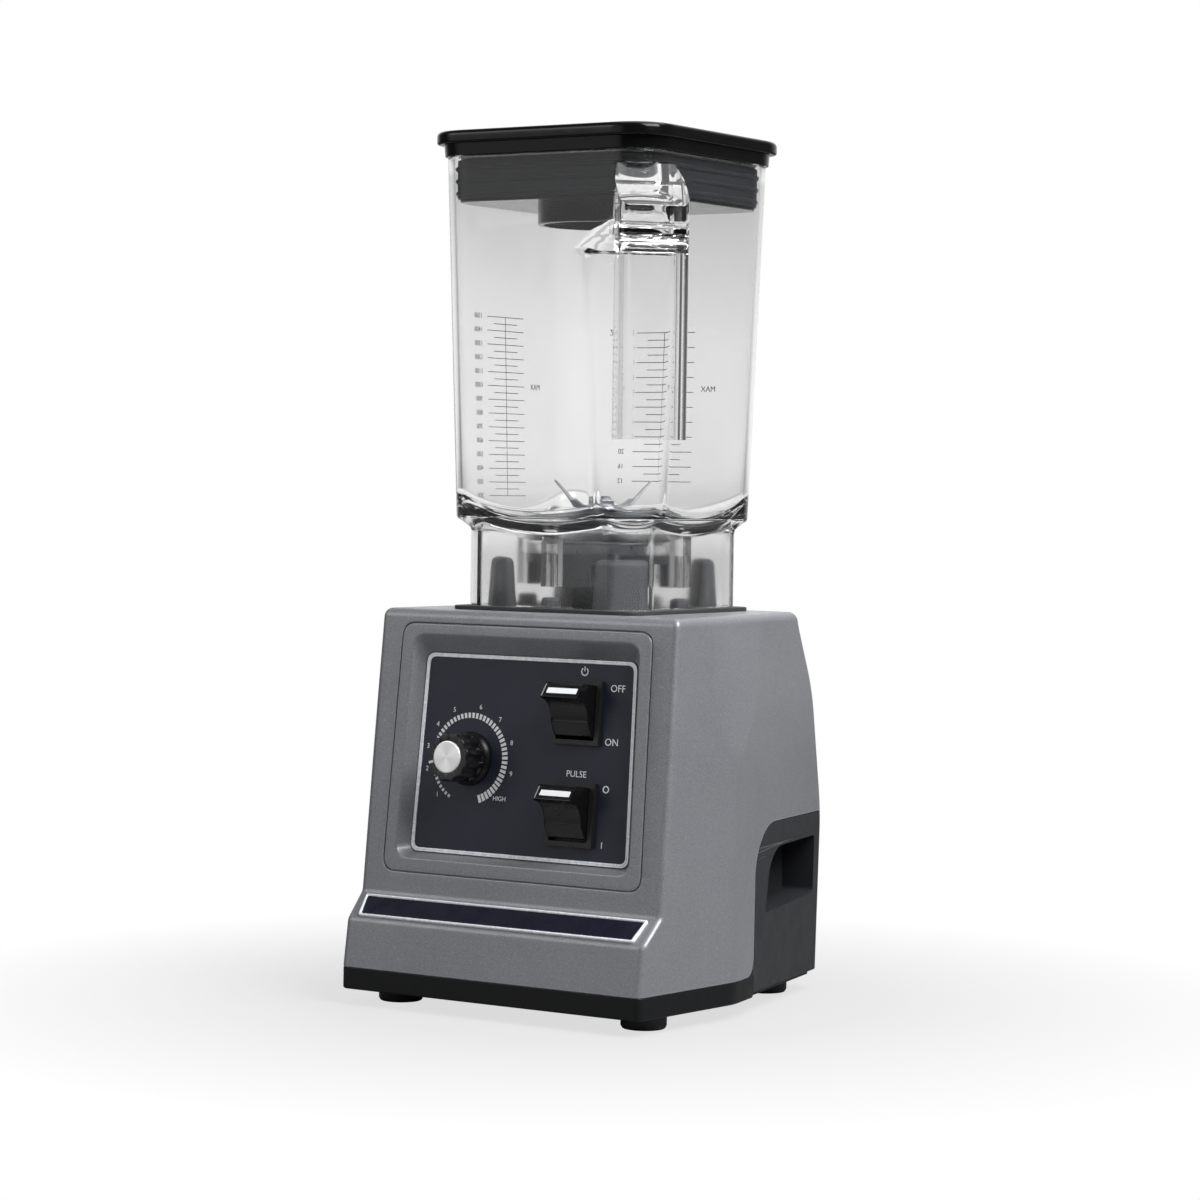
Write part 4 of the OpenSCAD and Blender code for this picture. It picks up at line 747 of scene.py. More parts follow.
class JugSizes(bpy.types.PropertyGroup):
    """Sizes and counts of the finish."""

    cover_edge: FloatProperty(name="Cover edge", description="Rounding of the rear cover's edges",
                              default=0.00055, min=0.0001, max=0.001, unit="LENGTH")
    handle_edge: FloatProperty(name="Handle edge", description="Rounding of the handle's edges",
                               default=0.0009, min=0.0001, max=0.002, unit="LENGTH")
    print_height: FloatProperty(name="Print", description="Thickness of printed marks",
                                default=0.00012, min=0.00002, max=0.0005, unit="LENGTH")
    number_height: FloatProperty(name="Numbers", description="Height of the dial's numbers",
                                 default=0.0029, min=0.001, max=0.006, unit="LENGTH")
    columns: IntProperty(name="Columns", description="Columns of points round the jar",
                         default=320, min=96, max=720)


class JugStage(bpy.types.PropertyGroup):
    """Light and floor."""

    key: FloatProperty(name="Key light", description="Power of the large soft light",
                       default=25.0, min=0, unit="POWER")
    fill: FloatProperty(name="Fill light", description="Power of the light from the left",
                        default=5.2, min=0, unit="POWER")
    top: FloatProperty(name="Top light", description="Power of the light from above",
                       default=8.0, min=0, unit="POWER")
    room: FloatProperty(name="Room", description="Brightness of the room's light",
                        default=0.17, min=0, max=2, subtype="FACTOR")


# ---- Operators ----

class DressStep(bpy.types.Operator):
    """Common base: each step builds its pieces in build()."""

    bl_options = {"REGISTER", "UNDO"}

    def execute(self, context):
        self.build(context.scene)
        return {"FINISHED"}


class JUG_OT_housing(DressStep):
    """The painted housing: a lofted shell with the control opening cut through its front"""

    bl_idname, bl_label = "jug.housing", "Housing"

    def build(self, scene):
        """Rows stand close together at the bends. The top edge is a quarter circle of radius
        EDGE, up by its sine and in by 1 less its cosine. Then the hollow, the bezel's seat, the
        window, the rear cover, the lower corner and the shaft's hole are cut away."""
        rows = np.concatenate([[BAND_TOP, 22.2], np.linspace(24, 46, 6), np.linspace(47.6, 51.2, 7),
                               np.linspace(53, 61, 4), np.linspace(62.2, 65.8, 7),
                               np.linspace(68, 144, 14), np.linspace(148, 222, 24)])
        curl = np.radians(np.linspace(0, 90, 9))
        z = np.concatenate([rows, HOUSING_TOP - EDGE * (1 - np.sin(curl))])
        inset = np.concatenate([[0.45], np.zeros(len(rows) - 1), EDGE * (1 - np.cos(curl))])
        shell = grid("housing", body_rings(z, inset))
        hollow = np.concatenate([[21.0], rows[1:-1:2], [225.0]])
        inner = grid("inner", body_rings(hollow, SHELL_WALL))
        pocket = grid("pocket", on_front(face_rings([
            (-0.5, -0.5, -0.5, 9, -2.0), (-0.5, -0.5, -0.5, 9, -0.7),
            (-0.75, -0.75, -0.75, 9.2, -0.2), (-1.3, -1.3, -1.3, 9.6, 0.02),
            (-1.3, -1.3, -1.3, 9.6, 14)])))
        window = grid("window", on_front(face_rings([(3, 3, 3, 7, -20), (3, 3, 3, 7, 8)])))
        carve(shell, inner, pocket, window, cover_block(0.35), corner_block(0.0),
              grid("shaft_hole", revolved([(13, 215), (13, 235)], 64)))
        finish_piece(shell, "housing_shell", Finishes["housing_paint"], "base",
                     ["main_housing"])


def cover_block(grow):
    """Side view of the rear cover carried right across the base: a straight front edge that
    sweeps in a quarter circle into the level top edge."""
    front, low, far, sweep = 3.0 - grow, -10.0, 134, 31.0
    curve = arc((34, COVER_TOP - sweep), sweep + grow, 180, 90, 22)
    side = np.concatenate([[(front, low)], curve, [(far, COVER_TOP + grow), (far, low)]])
    return prism("cover_block", side, *ACROSS, sideways)


def corner_block(grow):
    """The housing's lower corner beside the rear cover, outside a quarter circle, carried
    across the base."""
    y, z, low, far = -7.5, 31.2, 20.0, 2.5
    curve = arc((y, z), 9.5 - grow, 0, -90, 12)
    side = np.concatenate([curve, [(y, low), (far, low), (far, z)]])
    return prism("corner_block", side, *ACROSS, sideways)


class JUG_OT_rear_cover(DressStep):
    """The rear cover: a shell with a swept top edge, two grip pockets and cooling slots"""

    bl_idname, bl_label = "jug.rear_cover", "Rear cover"

    @staticmethod
    def pocket(grow, side):
        """One grip pocket as a solid, larger by grow: a side view with a quarter circle at its
        front, carried from the pocket's floor out past the side."""
        curve = arc((46, 71.5), 22 + grow, 180, 90, 20)
        outline = np.concatenate([[(20 - grow, 56 - grow)], curve,
                                  [(101 + grow, 94.5 + grow), (101 + grow, 60 - grow)]])
        outline = soft_outline(outline, np.array([3] + [0.01] * 20 + [3, 3]), 4)
        ends = (67 - grow, 127) if side > 0 else (-127, grow - 67)
        return prism("pocket", outline, *ends, sideways)

    def build(self, scene):
        """The base's plan, hollowed and trimmed to the cover's side view. Each pocket gets a
        wall round it before it is cut, and the slots and holes are cut through the back. A hole
        gives its place across and up, its radius and where it starts."""
        z = np.concatenate([[COVER_LOW, 12.5], np.linspace(15, 118, 26), [120.3]])
        inset = np.concatenate([[0.4], np.zeros(len(z) - 1)])
        cover = grid("cover", body_rings(z, inset))
        carve(cover, grid("inner", body_rings(np.array([11.0, 40, 80, 123]), 3.6)))
        carve(cover, cover_block(0), how="INTERSECT")
        core = body_rings(z, 0.4)
        for side in (1, -1):
            tub = self.pocket(2.5, side)
            carve(tub, grid("core", core), how="INTERSECT")
            carve(cover, tub, how="UNION")
        slot = soft_outline([[(-44, 0), (44, 0), (44, 3.6), (-44, 3.6)]], 1.79, 6)
        lowest, pitch = np.array([0, 45.2]), np.array([0, 7.4])
        slots = slot + lowest + np.arange(7)[:, None, None] * pitch
        louvres = bars("louvres", slots, 104, 124, upright)
        bores = []
        for x, up, radius, start in (
                (48, 31.5, 6.6, 99), (48, 31.5, 9.2, 109), (-48, 31.5, 6.1, 99),
                (-48, 31.5, 8.2, 109), (-55, 100, 2.1, 99), (55, 100, 2.1, 99),
                (-55, 100, 4.2, 111.7), (55, 100, 4.2, 111.7)):
            bore = upright(revolved([(radius, start), (radius, 125)], 40))
            bores.append(grid("bore", bore + np.array([x, 0, up])))
        carve(cover, self.pocket(0, 1), self.pocket(0, -1), louvres, *bores)
        eased_edges(cover, scene.jug_sizes.cover_edge / MM, 2, 40)
        finish_piece(cover, "rear_cover_shell", Finishes["cover_plastic"],
                     "base", ["rear_cover"])


class JUG_OT_foot_band(DressStep):
    """The black bottom cover, its corner beside the rear cover and the rubber feet"""

    bl_idname, bl_label = "jug.foot_band", "Foot band"

    def build(self, scene):
        """The base's plan with a rounded foot, hollowed, and cut back where the rear cover
        stands. The nine air slots shorten by the root of 1 - 0.024 k^2 away from the middle one,
        so their ends lie on an ellipse."""
        z = np.array([BAND_LOW, 9.3, 10.0, 21.2, BAND_TOP])
        inset = np.array([1.1, 0.5, 0.05, 0.05, 0.35])
        band = grid("band", body_rings(z, inset))
        carve(band, grid("hollow", body_rings(np.array([11.4, 18, 24]), 3.0)))
        back = body_rings(np.array([8.0, 18, 24]), -3.0)
        back[..., 1] = np.maximum(back[..., 1], 2.4)
        inner = body_rings(np.array([7.0, 18, 25]), 3.8)
        rim = carve(grid("rim", back), grid("inner", inner))
        carve(band, rim)
        inlet = soft_outline([[(-40, -2), (40, -2), (40, 2), (-40, 2)]], 1.9, 4)
        inlet = np.repeat(inlet, 9, 0)
        rank = np.arange(-4, 5)
        inlet[..., 0] *= np.sqrt(1 - 0.024 * rank ** 2)[:, None]
        inlet[..., 1] += 8.0 * rank[:, None]
        carve(band, bars("inlet", inlet, 7, 14))
        corner = grid("corner", body_rings(np.array([20.9, 26, 32]), 0.15))
        carve(corner, grid("core", body_rings(np.array([20, 26, 33]), 3.4)))
        carve(corner, corner_block(-0.25), how="INTERSECT")
        finish_piece(corner, "foot_band_corner", Finishes["black_plastic"],
                     "base")
        eased_edges(band, 0.3, 2, 50)
        finish_piece(band, "foot_band", Finishes["black_plastic"], "base",
                     ["bottom_cover"])
        feet = refined("feet", 0.8, 3)
        finish_piece(feet, "rubber_feet", Finishes["soft_rubber"], "base",
                     ["feet"])


class JUG_OT_bezel(DressStep):
    """The bezel that frames the sunk control panel, and the bright double line inside it"""

    bl_idname, bl_label = "jug.bezel", "Bezel and panel border"

    def build(self, scene):
        """One loop of stations goes over the bezel's rounded outer edge, along its front, down
        the straight slope from lip to foot and back behind it. The border's profile is carried
        round inside it, as margin and height pairs."""
        slope = np.linspace(0, 1, 5)[1:-1, None]
        lip = np.array([8.45, 8.35, 7.2, 8.8, -0.75])
        foot = np.array([12.55, 11.45, 15.3, 6.2, -7.4])
        stations = np.concatenate([
            [(0, 0, 0, 8.5, -2.0), (0, 0, 0, 8.5, -0.75), (0.1, 0.1, 0.1, 8.45, -0.4),
             (0.35, 0.35, 0.35, 8.3, -0.12), (0.75, 0.75, 0.75, 8.1, 0), (3, 3, 3, 8.5, 0),
             (7.1, 7.1, 5.4, 9, 0), (7.7, 7.7, 6.0, 9, -0.08), (8.15, 8.1, 6.6, 9, -0.33)],
            [lip], lip + (foot - lip) * slope, [foot],
            [(12.75, 11.6, 15.7, 6, -7.8), (12.9, 11.7, 16, 6, -8.1), (12.9, 11.7, 16, 6, -10),
             (16.9, 15.7, 20, 4, -10), (16.9, 15.7, 20, 4, -12.5), (10.7, 9.5, 13.8, 7, -12.5),
             (10.7, 9.5, 13.8, 7, -8), (5.8, 5.8, 4.1, 9, -2.0)]])
        bezel = grid("bezel", on_front(face_rings(stations, 14)), looped=True)
        finish_piece(bezel, "bezel_frame", Finishes["housing_paint"], "base",
                     ["control_bezel"], 28)
        edge = [(0.4, 0), (0.4, 0.45), (0.6, 0.6), (1.15, 0.6), (1.3, 0.42), (1.55, 0.42),
                (1.7, 0.6), (2.3, 0.6), (2.6, 0.42), (2.6, 0)]
        border = [(12.9 + m, 11.7 + m, 16 + m, 6 - 0.7 * m, PANEL_OUT + w) for m, w in edge]
        line = grid("border", on_front(face_rings(border, 12)), looped=True)
        finish_piece(line, "border_line", Finishes["bright_trim"], "base",
                     ["panel_border"], 25)


class JUG_OT_name_plate(DressStep):
    """The bare navy plate on the ledge and its bright surround"""

    bl_idname, bl_label = "jug.name_plate", "Name plate"

    @staticmethod
    def rings(stations):
        """Outlines on the ledge. Each station gives the inset from the trim's edge, the height
        out of the ledge and the corner setback."""
        inset, out, setback = np.array(stations, float).T
        foot_half, head_half = 94.5 - inset, 97 - inset
        foot, head = 2.4 + inset, 18.6 - inset
        corners = np.stack([
            np.stack([-foot_half, foot], -1), np.stack([foot_half, foot], -1),
            np.stack([head_half, head], -1), np.stack([-head_half, head], -1)], -2)
        return on_ledge(raised(soft_outline(corners, setback[:, None], 8), out))

    def build(self, scene):
        """The surround is a loop of stations over its rounded front. The plate stands inside."""
        trim = grid("trim", self.rings([
            (0, 0.02, 1.5), (0, 1.1, 1.5), (0.35, 1.5, 1.4), (1.1, 1.5, 1.2), (1.4, 1.25, 1.1),
            (1.6, 0.9, 1.1), (1.6, 0.02, 1.1)]), looped=True)
        finish_piece(trim, "name_surround", Finishes["bright_trim"], "base",
                     ["name_trim"], 25)
        plate = grid("plate", self.rings([(1.7, 0.02, 1), (1.7, 0.8, 1), (1.95, 1.0, 1)]))
        finish_piece(plate, "name_panel", Finishes["name_enamel"], "base",
                     ["name_plate"], 25)


class JUG_OT_dial(DressStep):
    """The speed knob with its lobes, the bright disc, and the printed scale round them"""

    bl_idname, bl_label = "jug.dial", "Speed dial"

    @staticmethod
    def from_axis(points, out=KNOB_OUT):
        """Points drawn round the dial's axis, at a height out of the face, in the frame."""
        return on_front(np.asarray(points, float) + np.array([DIAL[0], DIAL[1], out]))

    def build(self, scene):
        self.knob()
        self.scale(scene)

    def knob(self):
        """A turned profile with twelve round bites in its upper part. Where a bite reaches in,
        the reach is R cos d - sqrt(r^2 - (R sin d)^2): R is the distance of the bite's centre, r
        its radius and d the angle from its middle. The bites fade out over their foot."""
        profile = [(0, 18.4), (3.02, 18.4), (3.02, 7), (7.6, 7), (7.6, 0), (15.2, 0),
                   (15.6, 0.4), (15.6, 1.7), (15.3, 2.3), (14.6, 3.5), (14.1, 4.3), (14.0, 4.8),
                   (14.0, 5.1), (14.0, 5.4), (14.0, 5.9), (14.0, 6.6), (14.0, 10), (14.0, 14),
                   (14.0, 18), (14.0, 20.6), (13.93, 21.1), (13.7, 21.6), (13.3, 21.93),
                   (12.9, 22), (9.8, 22), (9.45, 21.85), (9.35, 21.5), (9.3, 20.6), (0, 20.6)]
        count, lobes, core = 480, 12, 11
        centre, radius, foot, fade = 15.6, 3.0, 4.9, 1.7
        rings = revolved(profile, count)
        reach = np.linalg.norm(rings[..., :2], axis=-1)
        pitch = 2 * math.pi / lobes
        off = np.abs((circle(count) + pitch / 2) % pitch - pitch / 2)
        under = np.clip(radius ** 2 - (centre * np.sin(off)) ** 2, 0, None)
        bite = np.where(under > 0, centre * np.cos(off) - np.sqrt(under), np.inf)
        depth = np.clip((rings[..., 2] - foot) / fade, 0, 1)
        target = np.minimum(reach, bite[None] + (1 - depth) * radius)
        target = np.where(reach > core, target, reach)
        rings[..., :2] *= (target / np.maximum(reach, 1e-9))[..., None]
        knob = grid("knob", self.from_axis(rings))
        finish_piece(knob, "knob_grip", Finishes["knob_plastic"], "speed_knob",
                     ["speed_knob"], 40)
        face = revolved([(0, 20.62), (9.0, 20.62), (9.2, 20.8), (9.2, 22.5), (9.05, 22.8),
                         (8.7, 22.95), (8.2, 23.0), (4, 23.0), (0, 23.0)], 160)
        disc = grid("disc", self.from_axis(face))
        finish_piece(disc, "knob_face", Finishes["spun_disc"], "speed_knob",
                     ["knob_disc_cap"], 25)
        mark = np.array([[(9.9, -0.75), (13.1, -0.75), (13.1, 0.75), (9.9, 0.75)]])
        turn = math.radians(POINTER_AT)
        matrix = np.array([[math.cos(turn), math.sin(turn)], [-math.sin(turn), math.cos(turn)]])
        mark = bars("mark", mark @ matrix, 21.95, 22.1, self.from_axis)
        finish_piece(mark, "knob_mark", Finishes["print_white"], "speed_knob")

    def scale(self, scene):
        """The printed ring: ticks that point at the axis and grow longer and wider round the
        scale in even steps, then the numbers and words."""
        share = np.linspace(0, 1, SCALE_COUNT)
        angle = np.radians(SCALE_START - SCALE_SWEEP * share)
        length = 1.75 + 2.65 * share
        half = 0.75 + 0.2 * share
        outer, inner = np.full(SCALE_COUNT, SCALE_REACH), SCALE_REACH - length
        narrow = half * inner / outer
        out = np.stack([np.cos(angle), np.sin(angle)], -1)
        side = np.stack([-out[:, 1], out[:, 0]], -1)
        ticks = np.stack([out * reach[:, None] + side * aside[:, None] for reach, aside in (
            (inner, -narrow), (outer, -half), (outer, half), (inner, narrow))], 1)
        thick = scene.jug_sizes.print_height / MM
        marks = bars("marks", ticks, -SUNK_INTO, thick, lambda p: self.from_axis(p, PANEL_OUT))
        finish_piece(marks, "dial_ticks", Finishes["print_white"], "base")
        size = scene.jug_sizes.number_height / MM * 1.4
        places = [("1", 226), ("2", 194), ("3", 169), ("4", 142), ("5", 115), ("6", 79.5),
                  ("7", 50), ("8", 20), ("9", -14)]
        parts = []
        for text, degrees in places:
            a = math.radians(degrees)
            parts.append(lettering(text, size, DIAL[0] + NUMBER_REACH * math.cos(a),
                                   DIAL[1] + NUMBER_REACH * math.sin(a), thick))
        a = math.radians(-46)
        parts.append(lettering("HIGH", size * 0.92, DIAL[0] + 32.5 * math.cos(a),
                               DIAL[1] + 30.5 * math.sin(a), thick))
        for text, scale, x, s in (("OFF", 1.42, 60.3, 125.5), ("ON", 1.42, 58.4, 95.2),
                                  ("PULSE", 1.28, 36.2, 76.2), ("I", 1.3, 56.3, 37.2)):
            parts.append(lettering(text, size * scale, x, s, thick))
        on_panel = np.array([0, 0, PANEL_OUT - SUNK_INTO])
        names = joined("names", parts, lambda p: on_front(p + on_panel))
        finish_piece(names, "panel_words", Finishes["print_white"], "base")
        self.symbols(thick)

    @staticmethod
    def symbols(thick):
        """A power sign, a broken ring with a bar, and a plain ring for the pulse switch."""
        def band(centre, outer, inner, start, end, steps=24):
            """Four-cornered pieces of a flat ring between two angles in degrees."""
            a = np.radians(np.linspace(start, end, steps + 1))
            edge = np.stack([np.cos(a), np.sin(a)], -1)
            return np.stack([edge[:-1] * inner, edge[:-1] * outer, edge[1:] * outer,
                             edge[1:] * inner], 1) + np.array(centre)

        power = band((37.2, 134.4), 2.5, 1.8, 125, 415)
        ring = band((56.7, 68.8), 2.1, 1.45, 0, 360)
        bar = np.array([[(36.85, 134.6), (37.55, 134.6), (37.55, 137.4), (36.85, 137.4)]])
        marks = bars("symbols", np.concatenate([power, ring, bar]), PANEL_OUT - SUNK_INTO,
                     PANEL_OUT + thick, on_front)
        finish_piece(marks, "panel_symbols", Finishes["print_white"], "base")


class JUG_OT_switches(DressStep):
    """The two rocker switches: frames, scooped paddles and the white bar on each"""

    bl_idname, bl_label = "jug.switches", "Rocker switches"

    CREST, END = (7.6, 24), (15.3, 19)

    def paddle_profile(self):
        """Side outline of a paddle, drawn as (up the face, out of it). Its scoop is a quarter
        ellipse, -6 + 13.6 sin a up and 24 - 12.7 cos a out, that ends at the crest."""
        a = np.radians(np.linspace(0, 90, 22))
        scoop = np.stack([-6 + 13.6 * np.sin(a), 24 - 12.7 * np.cos(a)], -1)
        outline = np.concatenate([[(-11.9, -3), (-13.4, 0), (-13.4, 6.4)], scoop,
                                  [self.END, (14.7, 7), (13.7, -2), (4, -8), (-4, -8)]])
        setbacks = np.array([0.6, 0.6, 0.8, 0.5] + [0.05] * 20 + [0.7, 1.2, 1, 1, 1, 1])
        return soft_outline(outline, setbacks, 3)

    def build(self, scene):
        """A paddle is its side outline carried across. At both sides it is rounded by a quarter
        circle: in from the side by edge (1 - sin a) where the outline shrinks by edge
        (1 - cos a)."""
        half, edge, depth = 12.4, 0.9, 3
        side = self.paddle_profile()
        ahead = np.roll(side, -1, 0) - np.roll(side, 1, 0)
        normal = np.stack([ahead[:, 1], -ahead[:, 0]], -1)
        normal /= np.linalg.norm(normal, axis=-1, keepdims=True)
        a = np.radians(np.linspace(0, 90, 6))
        aside, inset = edge * (1 - np.sin(a)), edge * (1 - np.cos(a))
        across = np.concatenate([-half + aside[::-1], half - aside])
        inset = np.concatenate([inset[::-1], inset])
        outline = side[None] - normal[None] * inset[:, None, None]
        rings = np.concatenate([np.broadcast_to(across[:, None, None], outline.shape[:2] + (1,)),
                                outline], -1)
        lean = math.atan2(self.CREST[1] - self.END[1], self.END[0] - self.CREST[0])
        for name, (x, s) in SWITCHES.items():
            def place(points, x=x, s=s):
                """Points on the switch's own axes, taken to the frame."""
                return on_front(np.asarray(points) + np.array([x, s, PANEL_OUT - depth]))

            paddle = grid("paddle", place(rings))
            finish_piece(paddle, name + "_paddle", Finishes["switch_plastic"],
                         name, [name], 30)
            bar = soft_outline([(-10, -1.85), (10, -1.85), (10, 1.85), (-10, 1.85)], 0.3, 3)

            def on_end(points, place=place):
                """Points on the slope from crest to end (across, down it, out of it)."""
                u, v, w = np.moveaxis(np.asarray(points, float), -1, 0)
                return place(np.stack([u, 11.35 + v * math.cos(lean) + w * math.sin(lean),
                                       21.57 - v * math.sin(lean) + w * math.cos(lean)], -1))

            bar = prism("bar", bar, -0.25, 0.14, on_end)
            finish_piece(bar, name + "_bar", Finishes["print_white"], name)
            frame_node = name.replace("rocker", "switch_body")
            rim = refined(frame_node, 0.55, 3)
            finish_piece(rim, frame_node + "_frame", Finishes["switch_frame"],
                         "base", [frame_node])


class JUG_OT_jar_seat(DressStep):
    """The rubber pad, the four centring lugs, the pegs and the drive collar under the jar"""

    bl_idname, bl_label = "jug.jar_seat", "Jar seat"

    def build(self, scene):
        """The lugs' plan shrinks by a straight draft and then by the quarter round of the nose,
        1 less its cosine in and its sine up."""
        pad = square_rings([(64.4, 10.7, HOUSING_TOP), (64.7, 11, 229.3), (64.7, 11, 230.8),
                            (64.5, 10.9, 231.15), (64.0, 10.6, PAD_TOP)])
        pad = carve(grid("pad", pad), grid("hole", revolved([(18, 225), (18, 235)], 64)))
        finish_piece(pad, "seat_pad", Finishes["soft_rubber"], "base",
                     ["jar_pad"])
        tall, draft, dome, nose = 24.5, 1.5, 4, 3.4
        curl = np.radians(np.linspace(15, 90, 6))
        rise = np.concatenate([np.linspace(0, tall, 3), tall + dome * np.sin(curl)])
        shrink = np.concatenate([np.linspace(0, draft, 3), draft + nose * (1 - np.cos(curl))])
        corners = np.stack([np.stack([x + inwards * shrink, y - math.copysign(1, y) * shrink], -1)
                            for x, y, inwards in ((53, -15, 1), (59, -18, 0), (66, -10, -1),
                                                  (66, 10, -1), (59, 18, 0), (53, 15, 1))], -2)
        lug = raised(soft_outline(corners, np.array([1.5, 3, 3, 3, 3, 1.5]), 5), PAD_TOP + rise)
        lugs = four_round("lugs", lug, 45)
        finish_piece(lugs, "seat_lugs", Finishes["lug_rubber"], "base",
                     ["centring_lugs"], 35)
        pegs = four_round("pegs", revolved([
            (0, PAD_TOP), (5.7, PAD_TOP), (5.7, 235.6), (5.4, 236.4), (4.9, 237.1), (4.3, 237.3),
            (0, 237.3)], 40, (PEG_RING, 0)))
        finish_piece(pegs, "seat_pegs", Finishes["soft_rubber"], "base",
                     ["pad_pegs"])
        collar = grid("collar", revolved([
            (20, PAD_TOP), (25, PAD_TOP), (25, 242.3), (24.7, 242.9), (24.1, 243.2), (20.9, 243.2),
            (20.3, 242.9), (20, 242.3)], 96), looped=True)
        finish_piece(collar, "seat_collar", Finishes["retainer_black"], "base",
                     ["drive_collar"])


def jar_half(z):
    """Half the jar's outer width at z: a straight lean from its foot to its rim."""
    return JAR_FOOT_HALF + JAR_FLARE * (z - JAR_FOOT) / (JAR_RIM - JAR_FOOT)


def jar_setback(z):
    """How far the jar's corners are set back at z: a straight lean like the width's."""
    return JAR_FOOT_SETBACK + SETBACK_GAIN * (z - JAR_FOOT) / (JAR_RIM - JAR_FOOT)


def soft_min(a, b, width):
    """The lesser of a and b, with the crossing rounded over a width: a share t runs from 0 to 1
    as b - a goes from -width to width, and the mix b + t (a - b) is lowered by width t (1 - t)."""
    near = np.clip(0.5 + 0.5 * (b - a) / width, 0, 1)
    return b * (1 - near) + a * near - width * near * (1 - near)


def wall_reach(angle, z, inset, recess=True):
    """Reach of the jar's wall in each direction: a leaning softened square, cut off flat in the
    handle's corner by a plane that steps out again near the rim. The crease between them is
    rounded over a width that is larger inside the wall and above the step."""
    reach = square_reach(angle, jar_half(z) - inset, jar_setback(z) - inset)
    if not recess:
        return reach
    plane = RECESS - inset + np.clip((z - RECESS_TOP - inset) * RECESS_STEP, 0, None)
    toward = np.cos(angle - HANDLE_CORNER)
    flat = np.where(toward > 0.2, plane / np.maximum(toward, 0.2), 999.0)
    crease = 0.8 + 0.6 * inset + np.clip((z - 431) * 0.7, 0, 3.4)
    return soft_min(reach, flat, crease)


